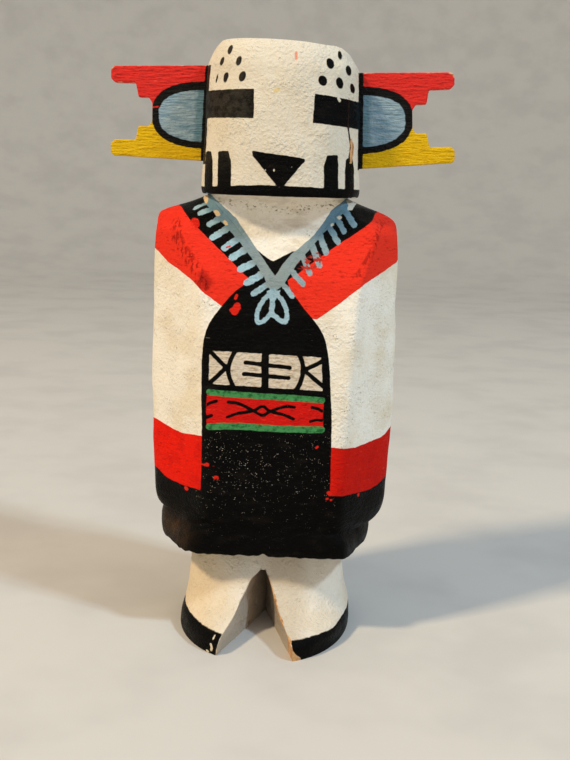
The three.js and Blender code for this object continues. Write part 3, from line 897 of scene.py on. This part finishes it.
# %% Gather the layers
on_robe = (z > HEM_HEIGHT - 1) & (z < CHIN_HEIGHT + 0.6)
chest = on_robe & (z > 110)
red_paint = np.where(on_robe, join(upper_band, lower_band, on_front(sash - 0.8)), FAR)
panel_black = on_front(join(common(panel, -sash, -belt_white), common(sash_drawing, sash)))
black_paint = join(
    np.where(on_robe, join(panel_black, collar, hem_black), FAR),
    np.where(z > CHIN_HEIGHT - 1, head_black, FAR),
    np.where(z < HEM_HEIGHT - 1.5, sole_black, FAR),
)
print("layers ready for", point_count, "points")

# %% Where the black is rubbed and lit, and where it is pitted
# Both are shares from 0 to 1 that fall off round a place: a bell curve of the distance to it.
# The patch low on the dress's left is worn brown paint and also painted light, where the bulge under the
# robe's edge catches the warm lamp.
rubbed = 0.8 * np.exp(-(((x + 36) / 7) ** 2) - ((z - 38) / 5) ** 2) * front
lower_panel = np.exp(-(((z - 66) / 19) ** 2)) * (np.abs(x) < 26) * np.interp(x, [-24, 22], [1.1, 0.6])
pitted = np.where(y > 0, 0.15, np.clip(0.35 + 0.75 * lower_panel * front, 0, 1))
print("pitted most at", round(float(pitted.max()), 2))

# %% Put them on the mesh


def store(piece, **layers):
    """One number for each vertex and layer, clipped to a few millimetres."""
    for name, values in layers.items():
        attribute = piece.data.attributes.new(name, "FLOAT", "POINT")
        attribute.data.foreach_set("value", np.clip(values, -4, 4).astype(np.float32))


def store_within(place, **layers):
    """Store layers on the doll that are painted on its front alone, and only in this place."""
    store(figure, **{name: np.where(place & front, layer, FAR) for name, layer in layers.items()})


store(
    figure,
    red_paint=red_paint,
    black_paint=black_paint,
    pale_marks=join(on_front(pale_marks), left_toe_chips),
    # The notch's walls carry a painted shade, stored as their distance.
    wall_paint=np.where(z < HEM_HEIGHT - 2, off_walls, FAR),
    bare_wood=bare_wood,
    neck_paint=np.where((z > 140) & (z < CHIN_HEIGHT + 0.6), join(neck, back_neck), FAR),
    fringe_light=np.where(chest, fringe_light, 0),
    rubbed=rubbed,
    pitted=pitted,
)
store_within(
    chest,
    blue_bands=bands_of_beads,
    blue_fringe=join(fringe, loops),
    cream_touches=cream_touches,
    red_smear=red_smear,
    neck_specks=neck_specks,
)
store_within(on_robe, green_paint=green_lines, red_slips=red_slips, belt_cloth=belt)
store_within(
    front,
    orange_touch=orange_touch,
    yellow_touch=yellow_touch,
    ridge_cuts=ridges,
    dark_scoop=dark_scoop,
    fine_crack=crack,
)
figure.data.shade_smooth()
figure.data.set_sharp_from_angle(angle=np.radians(38))
print("attributes:", len(figure.data.attributes))

# %% [markdown]
# ## The ears
# Each ear is a thin board sawn to a stepped outline and glued to the side of the head. Its shape is an
# outline and a thickness, so a rounded rim profile is carried along the outline, and the two
# flat faces are filled with a fine mesh of triangles that holds the painted arc and the raised grain.

# %% The sawn outline
EAR_THICKNESS, EAR_CORNER = 4.6, 1.1
HEAD_TALL = DOLL_HEIGHT - CHIN_HEIGHT
EAR_TIP_RISE, EAR_ROOT_RISE = 0.2968 * HEAD_TALL, 0.3154 * HEAD_TALL
OUTER_STEP_REACH, OUTER_STEP_RISE = 53.4, 0.1874 * HEAD_TALL
INNER_STEP_REACH, INNER_STEP_RISE = 48.6, 0.0946 * HEAD_TALL
WAIST_REACH, WAIST_RISE = 47.3, 0.0594 * HEAD_TALL
ROOT_REACH, SAW_CORNER, SAW_STEP = 24.5, 0.4, 0.5


def half_outline():
    """Upper half of an ear's outline, from inside the head to the waist, as (reach, rise) points."""
    root_rise = EAR_ROOT_RISE + (EAR_ROOT_RISE - EAR_TIP_RISE) * 0.12
    step_middle = (OUTER_STEP_REACH + INNER_STEP_REACH + EAR_CORNER * 2.5) / 2
    return [
        (ROOT_REACH, root_rise),
        (EAR_TIP_REACH - EAR_CORNER, EAR_TIP_RISE),
        (EAR_TIP_REACH, EAR_TIP_RISE - EAR_CORNER),
        (EAR_TIP_REACH, OUTER_STEP_RISE + EAR_CORNER * 1.3),
        (EAR_TIP_REACH - EAR_CORNER * 1.3, OUTER_STEP_RISE),
        (OUTER_STEP_REACH, OUTER_STEP_RISE),
        (step_middle, INNER_STEP_RISE),
        (INNER_STEP_REACH, INNER_STEP_RISE),
        (WAIST_REACH, WAIST_RISE),
    ]


def worn_outline(corners, corner_size, step):
    """A closed outline with small round corners: each corner becomes a curve between points a little
    way along its two edges, and the whole line is then divided into even steps."""
    corners = np.array(corners)
    back, ahead = np.roll(corners, 1, axis=0) - corners, np.roll(corners, -1, axis=0) - corners
    back_length, ahead_length = np.linalg.norm(back, axis=1), np.linalg.norm(ahead, axis=1)
    start = corners + back * (np.minimum(corner_size, back_length * 0.4) / back_length)[:, None]
    end = corners + ahead * (np.minimum(corner_size, ahead_length * 0.4) / ahead_length)[:, None]
    share = np.linspace(0, 1, 5)[None, :, None]
    curve = start[:, None] * (1 - share) ** 2 + corners[:, None] * 2 * share * (1 - share)
    curve = curve + end[:, None] * share**2
    line = curve.reshape(-1, 2)
    line = np.concatenate([line, line[:1]])
    run = np.concatenate([[0], np.cumsum(np.linalg.norm(np.diff(line, axis=0), axis=1))])
    marks = np.linspace(0, run[-1], int(run[-1] / step) + 1)[:-1]
    return np.stack([np.interp(marks, run, line[:, 0]), np.interp(marks, run, line[:, 1])], axis=1)


upper_half = half_outline()
lower_half = [(reach, -rise) for reach, rise in reversed(upper_half)]
ear_outline = worn_outline(upper_half + lower_half, SAW_CORNER, SAW_STEP)
print("ear outline:", len(ear_outline), "points")

# %% Rim and faces of a board
RIM_ROUND = 0.42
rim_profile = [(1, -1), (0.45, -0.96), (0.12, -0.88), (0, -0.74), (0, -0.25), (0, 0.25),
    (0, 0.74), (0.12, 0.88), (0.45, 0.96), (1, 1)]
FACE_STEP = 0.55


def inward(outline, distance):
    """The outline moved inwards: each point along the mean of its two edges' inward normals."""
    edge = np.roll(outline, -1, axis=0) - np.roll(outline, 1, axis=0)
    edge /= np.linalg.norm(edge, axis=1)[:, None]
    return outline + np.stack([edge[:, 1], -edge[:, 0]], axis=1) * distance


def fill_face(loop):
    """Points and triangles that fill a closed loop: an even grid of inner points joined to it."""
    low, high = loop.min(0), loop.max(0)
    steps = [np.arange(start, end, FACE_STEP) for start, end in zip(low, high)]
    grid = np.stack(np.meshgrid(*steps), -1).reshape(-1, 2)
    corners = [tuple(p) for p in loop]
    keep = patch(corners, grid[:, 0], grid[:, 1]) < -0.6 * FACE_STEP
    every = np.concatenate([loop, grid[keep]])
    count = len(loop)
    edges = [(i, (i + 1) % count) for i in range(count)]
    filled = delaunay_2d_cdt([tuple(p) for p in every], edges, [], 1, 1e-5)
    return np.array([tuple(p) for p in filled[0]]), filled[2], filled[3]


def ear_board(seed):
    """A board as (reach, depth, rise) points and faces: the rim profile carried along the outline,
    and each face filled inside the innermost ring, with the wood's grain standing a little proud."""
    rings = []
    for inset, depth in rim_profile:
        ring = inward(ear_outline, inset * RIM_ROUND)
        rings.append(np.insert(ring, 1, depth * EAR_THICKNESS / 2, axis=1))
    count = len(ear_outline)
    loop = inward(ear_outline, RIM_ROUND)
    face_points, face_triangles, origins = fill_face(loop)
    points = np.concatenate(rings)
    faces = ring_faces(len(rings), count).tolist()
    for side in (-1, 1):
        flat = np.insert(face_points, 1, side * EAR_THICKNESS / 2, axis=1)
        grain = 0.055 * waves(flat * [0.12, 1, 1], seed + side, 1.7, 30) - 0.03
        first = 0 if side < 0 else (len(rings) - 1) * count
        number = np.empty(len(flat), int)
        inner = np.array([not any(o < count for o in origin) for origin in origins])
        number[inner] = len(points) + np.arange(inner.sum())
        for i in np.nonzero(~inner)[0]:
            number[i] = first + min(origins[i])
        flat[:, 1] += side * np.minimum(grain, 0.06)
        points = np.concatenate([points, flat[inner]])
        faces += [[int(number[i]) for i in triangle] for triangle in face_triangles]
    return points, faces


board_points, board_faces = ear_board(31)
print("ear board:", len(board_points), "points,", len(board_faces), "faces")

# %% Set an ear to the head
LEFT_EAR_MIDDLE = CHIN_HEIGHT + HEAD_TALL * 0.53
RIGHT_EAR_MIDDLE = CHIN_HEIGHT + HEAD_TALL * 0.51
RIGHT_EAR_LIFT = np.radians(3.6)
HEAD_LEFT, HEAD_RIGHT = 28.5, 29.2


def placed_board(points, side, middle, lift, root):
    """The board on its side of the head: tipped up by the lift round its root, and mirrored for
    the left by turning it half round the upright axis."""
    reach, depth, rise = points.T
    beyond = reach - root
    across = root + beyond * np.cos(lift) - rise * np.sin(lift)
    tall = middle + beyond * np.sin(lift) + rise * np.cos(lift)
    return np.stack([side * across, side * depth, tall], axis=1)


def outward(piece):
    """Turn every face of a closed mesh outwards."""
    work = bmesh.new()
    work.from_mesh(piece.data)
    bmesh.ops.recalc_face_normals(work, faces=work.faces)
    work.to_mesh(piece.data)
    work.free()


left_board = placed_board(board_points, -1, LEFT_EAR_MIDDLE, 0.0, HEAD_LEFT)
right_board = placed_board(board_points, 1, RIGHT_EAR_MIDDLE, RIGHT_EAR_LIFT, HEAD_RIGHT)
left_ear = new_piece("left_ear_board", left_board, board_faces)
right_ear = new_piece("right_ear_board", right_board, board_faces)
for ear in (left_ear, right_ear):
    outward(ear)
print("ears span", round(float(right_board[:, 0].max() - left_board[:, 0].min()), 1), "mm")

# %% [markdown]
# ## Paint on the ears
# A black arc springs from the head on each ear, with pale blue inside; in a strip next to the head the blue
# is shaded to blue-green as painted shade in the corner. Outside the arc the upper half is red and the lower
# half is yellow.
# The arc is half of a squared ellipse, so its distance is worked out from the ellipse's own measure.

# %% Layers of an ear
ARC_ROOT, ARC_REACH, SKY_REACH = 26.5, 20.9, 18.3
ARC_TALL, SKY_TALL, ARC_POWER = 11.9, 9.2, 2.5
EAR_LINE_WIDTH, TEAL_WIDTH, DAB_HALF_WIDTH, WORN_HALF_WIDTH = 1.1, 2.6, 0.3, 0.35


def half_ellipse(reach, rise, along_reach, tall, middle):
    """Distance to an ellipse with fuller corners that stands on the head: the power mean of its two
    shares less one, times half its height, which is close to millimetres near the edge."""
    across, upward = np.abs(reach - ARC_ROOT) / along_reach, np.abs(rise - middle) / tall
    return ((across**ARC_POWER + upward**ARC_POWER) ** (1 / ARC_POWER) - 1) * tall


def paint_ear(piece, placed, arc_middle, sky_middle, dab, worn):
    """Store an ear's painted layers: distances on the flat board, and past the head's side."""
    reach, _, rise = board_points.T
    head_height = np.clip(placed[:, 2], CHIN_HEIGHT, DOLL_HEIGHT - 1)
    beyond_head = np.abs(placed[:, 0]) - skin_radius(head, head_height, np.arctan2(0, placed[:, 0]))
    faces_front = placed[:, 1] < 0
    sky = half_ellipse(reach, rise, SKY_REACH, SKY_TALL, sky_middle)
    store(
        piece,
        black_paint=join(
            half_ellipse(reach, rise, ARC_REACH, ARC_TALL, arc_middle), beyond_head - EAR_LINE_WIDTH
        ),
        sky_paint=common(sky, EAR_LINE_WIDTH - beyond_head),
        red_half=-0.4 - rise,
        teal_strip=beyond_head - EAR_LINE_WIDTH - TEAL_WIDTH,
        rim_distance=-patch([tuple(p) for p in ear_outline], reach, rise),
        red_dab=np.where(faces_front, nearest(reach, rise, dab) - DAB_HALF_WIDTH, FAR),
        worn_corner=np.where(faces_front, nearest(reach, rise, worn) - WORN_HALF_WIDTH, FAR),
    )
    piece.data.shade_smooth()
    piece.data.set_sharp_from_angle(angle=np.radians(50))
    print(piece.name, "painted,", len(piece.data.polygons), "faces")


paint_ear(left_ear, left_board, -0.7, -1, [(45, 2), (47.3, 1.6)], [(61.4, 16.2), (62.5, 15)])
paint_ear(right_ear, right_board, 0.2, -0.1, [], [(60.8, 15.9), (62.2, 15.5), (62.5, 14.4)])

# %% [markdown]
# ## Node helpers for paint
# All paints here are built from the same few steps: a noise of a real size, a ramp that turns it into
# a mask, and a mix of two colours by that mask. Sizes are in millimetres and the noise reads Object
# coordinates, so a pattern keeps its scale on every piece and needs no unwrapping. Each helper adds
# its nodes to tree, the node tree of the material that was opened last.

# %% Small node helpers


def new_material(name):
    """An empty material and its node tree."""
    material = bpy.data.materials.new(name)
    material.use_nodes = True
    material.node_tree.nodes.clear()
    return material, material.node_tree


def is_output(value):
    """Whether a value is another node's output."""
    return isinstance(value, bpy.types.NodeSocket)


def add(kind, inputs=(), **settings):
    """One node: its settings, and its inputs as (socket, value or another node's output) pairs."""
    node = tree.nodes.new(kind)
    for name, value in settings.items():
        setattr(node, name, value)
    for key, value in inputs:
        if is_output(value):
            tree.links.new(value, node.inputs[key])
        else:
            node.inputs[key].default_value = value
    return node


def place_on_piece():
    """Object coordinates, which are the frame's metres, as every piece sits at the origin."""
    return add("ShaderNodeTexCoord").outputs["Object"]


def stored(name):
    """A number that was stored on the mesh."""
    return add("ShaderNodeAttribute", attribute_name=name).outputs["Fac"]


def noise(size, stretch=(1, 1, 1), detail=3.0, rough=0.55):
    """Noise whose blobs are about this many millimetres, drawn out by stretch along each axis."""
    squeeze = tuple(1 / s for s in stretch)
    place = add("ShaderNodeMapping", [("Vector", place_on_piece()), ("Scale", squeeze)]).outputs["Vector"]
    inputs = [("Vector", place), ("Scale", 1 / (size * MM)), ("Detail", detail), ("Roughness", rough)]
    return add("ShaderNodeTexNoise", inputs).outputs["Fac"]


def ramp(value, start, end, low=0.0, high=1.0):
    """A smooth passage from low to high as the value goes from start to end."""
    inputs = [("Value", value), ("From Min", start), ("From Max", end), ("To Min", low), ("To Max", high)]
    return add("ShaderNodeMapRange", inputs, interpolation_type="SMOOTHSTEP").outputs["Result"]


def maths(operation, result, *others):
    """A calculation with two or more values, done from left to right."""
    for value in others:
        result = add("ShaderNodeMath", [(0, result), (1, value)], operation=operation).outputs[0]
    return result


def times(*factors):
    """The product of masks and shares."""
    return maths("MULTIPLY", *factors)


def between(mask, first, second):
    """A number that goes from the first value to the second as the mask goes from zero to one."""
    return add("ShaderNodeMix", [(0, mask), (2, first), (3, second)], data_type="FLOAT").outputs[0]


print("helpers for nodes, noises, ramps and sums are ready")

# %% Colours, edges and pin-holes


def paint(red, green, blue):
    """A colour as it is seen on a screen, made linear for the shader."""
    seen = np.array([red, green, blue]) / 255
    linear = np.where(seen <= 0.04045, seen / 12.92, ((seen + 0.055) / 1.055) ** 2.4)
    return (*linear.tolist(), 1.0)


def over(under, *layers):
    """Lay colours over each other: each (colour, mask) pair covers what is under it where the mask
    is one. A colour is three numbers up to 255 or another node's output."""
    for colour, mask in layers:
        pair = [value if is_output(value) else paint(*value) for value in (under, colour)]
        inputs = [(0, mask), (6, pair[0]), (7, pair[1])]
        under = add("ShaderNodeMix", inputs, data_type="RGBA", clamp_factor=True).outputs[2]
    return under


def brush_wobble(size, amount):
    """A small signed distance that shakes painted edges."""
    return times(maths("SUBTRACT", noise(size, detail=2.0), 0.5), amount)


def edge_of(layer, width=0.13, shake=None):
    """Mask of a painted layer: its stored distance, shaken by a small noise as a brush edge is, and
    cut at zero over a narrow width. Unless told otherwise, the shake is the material's wobble."""
    return ramp(maths("ADD", stored(layer), wobble if shake is None else shake), width, -width)


def pin_holes(spacing, radius, share):
    """Mask of small round holes at scattered points: the distance to the nearest point, in steps of
    the spacing, less the holes' radius times a share that can change from place to place."""
    inputs = [("Vector", place_on_piece()), ("Scale", 1 / (spacing * MM))]
    nearest_point = add("ShaderNodeTexVoronoi", inputs).outputs["Distance"]
    return ramp(maths("SUBTRACT", nearest_point, times(share, radius / spacing)), 0.0, -0.07)


def finish_material(colour, roughness, shine, height, depth):
    """The shader: colour, roughness and shine as made, and a bump of this depth in millimetres."""
    bump = add("ShaderNodeBump", [("Height", height), ("Distance", depth * MM), ("Strength", 1)])
    inputs = [("Base Color", colour), ("Roughness", roughness), ("Specular IOR Level", shine)]
    shader = add("ShaderNodeBsdfPrincipled", inputs + [("Normal", bump.outputs["Normal"])])
    add("ShaderNodeOutputMaterial", [("Surface", shader.outputs["BSDF"])])


print("a mid grey is", round(paint(128, 128, 128)[0], 3), "to the shader")

# %% [markdown]
# ## The doll's paint
# The white is a thin chalky ground that has yellowed unevenly, with pin-holes where the wood's pores
# show through. The red is matt and a little streaky, the black has a slight sheen and is full of tiny
# white pits, and the blues are thin washes. Each paint is a list of colours and masks, because
# real paint is a few close tones and never one.

# %% The white ground
doll_paint, tree = new_material("carved_doll_paint")
wobble = brush_wobble(2.4, 0.5)
across, _, upward = add("ShaderNodeSeparateXYZ", [("Vector", place_on_piece())]).outputs

on_legs = ramp(upward, 0.036, 0.028)
# Painted light: the warm lamp's light on the left leg, as a warmer colour on its left side.
left_leg = times(on_legs, ramp(across, -0.008, -0.024), 0.7)
# Painted shade: the front of the right shin is greyed.
right_shin = times(on_legs, ramp(across, -0.005, 0.003), ramp(across, 0.018, 0.01), 0.65)
lumps = noise(1.05, detail=2.5, rough=0.6)
pores = pin_holes(1.4, 0.24, ramp(noise(7.0), 0.44, 0.66))
chalk = over(
    (242, 237, 226),
    ((232, 222, 202), ramp(noise(16), 0.42, 0.68)),
    ((212, 190, 156), ramp(noise(5.5, (1, 1, 2)), 0.6, 0.8, 0, 0.22)),
    ((204, 178, 138), ramp(lumps, 0.42, 0.3, 0, 0.3)),
    ((142, 106, 68), times(pores, 0.7)),
    ((236, 206, 152), left_leg),
    # Painted shade: all of the legs below the hem are greyed.
    ((208, 196, 182), ramp(upward, 0.034, 0.03, 0, 0.35)),
    ((202, 187, 164), right_shin),
    ((214, 204, 184), ramp(upward, 0.158, 0.166, 0, 0.7)),
    # Painted shade: the walls of the notch are darkened, as the shade inside the cut.
    ((160, 146, 130), times(edge_of("wall_paint"), 0.75)),
)
print("white ground mixed")

# %% Red and black
# The red's darker streaks are the paint's own; its lighter streaks are painted highlights along the brush
# ridges.
streaks = noise(0.75, (3.6, 3.6, 1))
# Painted shade: the lower red band's right-hand end is darkened.
dull_corner = times(ramp(across, 0.019, 0.026), ramp(upward, 0.082, 0.078), 0.55)
sash_height = times(ramp(upward, 0.0785, 0.0795), ramp(upward, 0.1, 0.095), 0.65)
robe_red = over(
    (234, 27, 6),
    ((214, 19, 5), ramp(noise(7), 0.45, 0.7)),
    ((240, 58, 38), ramp(upward, 0.1, 0.12, 0, 0.75)),
    ((172, 14, 9), dull_corner),
    ((194, 20, 20), sash_height),
    ((150, 12, 9), ramp(streaks, 0.56, 0.72, 0, 0.55)),
    ((240, 74, 46), ramp(streaks, 0.38, 0.26, 0, 0.45)),
)
black_noise = noise(3.0, (2.6, 2.6, 1), detail=5.0)
# Worn brown paint and painted light on the dress's left bulge.
rubbed_share = times(stored("rubbed"), ramp(noise(4.0), 0.35, 0.65, 0.3, 1.0))
left_eye_side = times(ramp(across, -0.006, -0.014), ramp(upward, 0.166, 0.186))
thin_black = times(left_eye_side, ramp(noise(2.2, detail=4.0), 0.35, 0.6, 0.3, 0.9))
pits = pin_holes(0.62, 0.16, times(ramp(noise(1.6), 0.4, 0.6), stored("pitted")))
pit_tone = over((214, 206, 192), ((104, 97, 86), ramp(noise(0.8), 0.42, 0.58)))
dress_black = over(
    (4, 4, 4),
    ((26, 22, 18), ramp(black_noise, 0.5, 0.8, 0, 0.7)),
    ((70, 47, 24), rubbed_share),
    ((54, 50, 44), thin_black),
    (pit_tone, pits),
)
print("red and black mixed")

# %% Blue, green, belt and bare wood
deeper = times(ramp(across, 0.008, 0.018), ramp(upward, 0.144, 0.156, 0, 0.8))
bead_blue = over(
    (140, 154, 157),
    ((112, 144, 160), ramp(upward, 0.138, 0.158)),
    ((80, 118, 142), deeper),
    ((98, 132, 138), ramp(noise(2.4), 0.52, 0.7, 0, 0.5)),
)
fringe_blue = over(
    bead_blue,
    ((164, 198, 214), stored("fringe_light")),
    ((112, 146, 164), ramp(noise(1.5), 0.5, 0.72, 0, 0.5)),
)
line_green = over((70, 142, 84), ((38, 98, 54), ramp(noise(1.6), 0.45, 0.68)))
bare = over((214, 164, 112), ((158, 104, 60), ramp(noise(1.1, (1, 1, 7), detail=4.0), 0.45, 0.7)))
belt_ground = over((216, 203, 184), ((170, 145, 116), ramp(noise(0.7, (6, 6, 1)), 0.48, 0.66, 0, 0.7)))
cream = over((226, 196, 152), ((206, 202, 190), ramp(across, 0.0, 0.006)))
print("other paints mixed")

# %% Lay them over each other
red_mask, black_mask = edge_of("red_paint"), edge_of("black_paint")
dirt = times(edge_of("neck_paint"), ramp(noise(3.2, (3, 3, 1)), 0.5, 0.66, 0, 0.25))
specks = times(edge_of("neck_specks", 1.1), ramp(noise(0.8, (1.6, 1.6, 1)), 0.56, 0.66), 0.8)
# Knife nicks in the relief, and painted shade in the colour, along both ridges.
nicks = times(edge_of("ridge_cuts", 0.8), red_mask, ramp(noise(1.5, (1, 1, 2.2)), 0.5, 0.6))
smear = times(edge_of("red_smear", 0.5), ramp(noise(1.2, (2, 2, 1), detail=4.0), 0.46, 0.54))
surface = over(
    chalk,
    (belt_ground, edge_of("belt_cloth")),
    ((150, 122, 86), dirt),
    ((92, 68, 36), specks),
    (robe_red, red_mask),
    # Painted shade: the red is darkened along the ridges where the faces meet.
    ((160, 14, 8), times(nicks, 0.6)),
    # Painted shade in the hollow below the left ridge.
    ((132, 10, 8), times(edge_of("dark_scoop", 1.2, brush_wobble(2.0, 2.0)), 0.6)),
    (dress_black, black_mask),
    (bead_blue, edge_of("blue_bands")),
    (fringe_blue, edge_of("blue_fringe", shake=brush_wobble(1.3, 1.0))),
    (line_green, edge_of("green_paint")),
    ((176, 52, 40), smear),
    ((216, 36, 22), edge_of("red_slips")),
    ((228, 116, 80), times(edge_of("orange_touch", 0.3), 0.75)),
    ((226, 196, 120), times(edge_of("yellow_touch"), 0.7)),
    ((226, 214, 190), edge_of("pale_marks")),
    (cream, edge_of("cream_touches")),
    (bare, edge_of("bare_wood")),
    ((44, 30, 22), edge_of("fine_crack", 0.1)),
)
print("layers laid over each other")

# %% Sheen and relief
RELIEF_DEPTH = 0.74
painted = maths("MAXIMUM", red_mask, black_mask)
shine = maths("SUBTRACT", ramp(painted, 0.0, 1.0, 0.35, 0.1), times(black_mask, 0.05))
roughness = between(black_mask, 0.78, ramp(black_noise, 0.35, 0.7, 0.34, 0.52))
fine_tooth = noise(0.9, detail=4.0, rough=0.65)
bumps = ramp(noise(1.5, detail=0.5), 0.52, 0.82, 0, 0.3)
chalk_relief = maths("ADD", lumps, bumps, times(fine_tooth, 0.3))
chalk_relief = times(chalk_relief, ramp(noise(14.0), 0.4, 0.6, 0.5, 0.95))
chalk_relief = maths("SUBTRACT", chalk_relief, times(pores, 0.45))
paint_relief = times(maths("ADD", noise(1.0, (3.2, 3.2, 1)), fine_tooth), 0.66)
paint_relief = maths("SUBTRACT", paint_relief, times(nicks, 0.8))
finish_material(surface, roughness, shine, between(painted, chalk_relief, paint_relief), RELIEF_DEPTH)
figure.data.materials.clear()
figure.data.materials.append(doll_paint)
print("doll paint:", len(tree.nodes), "nodes")

# %% The ears' paint
EAR_RELIEF_DEPTH = 0.95
ear_paint, tree = new_material("ear_board_paint")
wobble = brush_wobble(2.0, 0.5)
grain_lines = noise(0.75, (6, 1, 1))
board_red = over(
    (222, 42, 34),
    ((150, 20, 22), ramp(grain_lines, 0.54, 0.72, 0, 0.6)),
    ((236, 100, 84), ramp(grain_lines, 0.36, 0.24, 0, 0.5)),
)
board_yellow = over(
    (224, 180, 0),
    ((180, 128, 0), ramp(grain_lines, 0.54, 0.72, 0, 0.6)),
    ((240, 206, 64), ramp(grain_lines, 0.38, 0.26, 0, 0.5)),
)
sky = over(
    (146, 170, 184),
    ((110, 144, 164), ramp(noise(1.6, (4, 1, 1)), 0.4, 0.7, 0, 0.85)),
    ((178, 202, 212), ramp(noise(1.1, (3.4, 1, 1)), 0.6, 0.7, 0, 0.5)),
    # Painted shade: the blue darkens to blue-green next to the head, in the corner between board and head.
    ((84, 126, 140), times(edge_of("teal_strip", 0.9, brush_wobble(3.0, 2.2)), 0.7)),
)
arc_black = over((10, 9, 9), ((42, 36, 30), ramp(grain_lines, 0.52, 0.75, 0, 0.7)))
black_mask = edge_of("black_paint")
surface = over(
    board_yellow,
    (board_red, edge_of("red_half")),
    # A pale line along the rim: worn paint, and a painted highlight where the lamps catch the board's edges.
    ((238, 190, 156), times(edge_of("rim_distance", 0.2, brush_wobble(2.2, 1.3)), 0.6)),
    (arc_black, black_mask),
    (sky, edge_of("sky_paint")),
    (board_red, edge_of("red_dab")),
    ((228, 196, 150), times(edge_of("worn_corner", 0.4), 0.8)),
)
relief = maths("ADD", grain_lines, times(noise(1.0, detail=4.0), 0.5))
shine = ramp(black_mask, 0.0, 1.0, 0.2, 0.1)
finish_material(surface, between(black_mask, 0.68, 0.5), shine, relief, EAR_RELIEF_DEPTH)
for ear in (left_ear, right_ear):
    ear.data.materials.append(ear_paint)
print("ear paint:", len(tree.nodes), "nodes")

# %% [markdown]
# ## Tie the pieces to the frame
# Every piece stands still with the doll's one body. Each takes the place of the CAD solid that it
# refines, so the solid isn't shown.

# %% Ride and replace
for piece, node, finish in (
    (figure, "carved_figure", "painted_body"),
    (left_ear, "left_ear", "painted_ears"),
    (right_ear, "right_ear", "painted_ears"),
):
    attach(piece, "root")
    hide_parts(node)
    print(piece.name, "stands for", node)

# %% [markdown]
# ## A plain room for the picture
# The floor is a wide pale disc that curves up far away on every side, so that a camera at any
# angle sees the same plain ground. It is a surface of revolution: a flat radius, then a quarter
# ellipse upwards.

# %% Floor
FLOOR_FLAT, FLOOR_BEND, FLOOR_RISE, FLOOR_SIDES = 1.3, 1.0, 1.1, 96
bend = np.linspace(0, np.pi / 2, 24)[1:]
floor_radius = np.concatenate([[0.05, 0.2, 0.5, 0.9, FLOOR_FLAT], FLOOR_FLAT + FLOOR_BEND * np.sin(bend)])
floor_height = np.concatenate([np.zeros(5), FLOOR_RISE * (1 - np.cos(bend))])
floor_turn = np.linspace(0, 2 * np.pi, FLOOR_SIDES + 1)[:-1]
rounds = [np.cos(floor_turn), np.sin(floor_turn)]
floor_grid = [floor_radius[:, None] * rounds[0], floor_radius[:, None] * rounds[1]]
floor_grid = np.stack(floor_grid + [floor_height[:, None] * np.ones(FLOOR_SIDES)], axis=-1)
floor_points = np.concatenate([floor_grid.reshape(-1, 3), [(0, 0, 0)]])
floor_faces = ring_faces(*floor_grid.shape[:2]).tolist()
floor_faces += [[len(floor_points) - 1, (i + 1) % FLOOR_SIDES, i] for i in range(FLOOR_SIDES)]
floor_mesh = bpy.data.meshes.new("pale_floor")
floor_mesh.from_pydata(floor_points.tolist(), [], floor_faces)
floor_mesh.shade_smooth()
floor = new_object("pale_floor", floor_mesh)
floor_paint, tree = new_material("floor_paper")
paper = over((206, 204, 200), ((198, 196, 193), ramp(noise(60), 0.4, 0.7)))
paper_tone = add("ShaderNodeBsdfDiffuse", [("Color", paper)])
add("ShaderNodeOutputMaterial", [("Surface", paper_tone.outputs[0])])
floor_mesh.materials.append(floor_paint)
floor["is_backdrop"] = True
print("floor", round(2 * (FLOOR_FLAT + FLOOR_BEND), 1), "m across")

# %% [markdown]
# ## Light
# A warm soft light stands high on the left and in front, and throws the hem's shadow across the legs. A
# cooler one on the right keeps the right-hand faces pale, and a dim even surround fills the rest.

# %% Lamps and surround
AIM_HEIGHT = 0.11


def soft_lamp(name, turn, lift, distance, size, watts, colour):
    """A square lamp that looks at the doll from this direction: turn is measured from the front
    towards the doll's left hand in the picture's right, lift above level."""
    data = bpy.data.lights.new(name, "AREA")
    data.energy, data.size, data.color = watts, size, colour
    lamp = new_object(name, data)
    turn, lift = np.radians(turn), np.radians(lift)
    way = np.array([np.sin(turn) * np.cos(lift), -np.cos(turn) * np.cos(lift), np.sin(lift)])
    side = np.array([np.cos(turn), np.sin(turn), 0.0])
    place = np.eye(4)
    place[:3, 0], place[:3, 1], place[:3, 2] = side, np.cross(way, side), way
    place[:3, 3] = way * distance + [0, 0, AIM_HEIGHT]
    lamp.matrix_world = Matrix(place.tolist())


soft_lamp("warm_key", -54, 46, 2.0, 0.2, 28.5, (1.0, 0.79, 0.52))
soft_lamp("cool_fill", 60, 46, 2.0, 0.2, 19.0, (0.66, 0.85, 1.0))
soft_lamp("top_glow", 10, 78, 1.1, 0.7, 1.0, (1.0, 0.97, 0.94))
surround = bpy.data.worlds.new("surround")
surround.use_nodes = True
glow = surround.node_tree.nodes["Background"].inputs
glow["Color"].default_value, glow["Strength"].default_value = (0.95, 0.93, 0.9, 1.0), 0.36
bpy.context.scene.world = surround
bpy.context.scene.view_settings.view_transform = "Standard"
print("three lamps and a dim surround")

# %% [markdown]
# ## The sizes of both boxes
# The painted doll has to fill the same box as the CAD model, so both boxes are printed.

# %% Sizes
visual_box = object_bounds()
boxes = {"cad": cad_box, "visual": visual_box}
boxes = {name: [list(map(float, corner)) for corner in box] for name, box in boxes.items()}
print("boxes:", boxes)
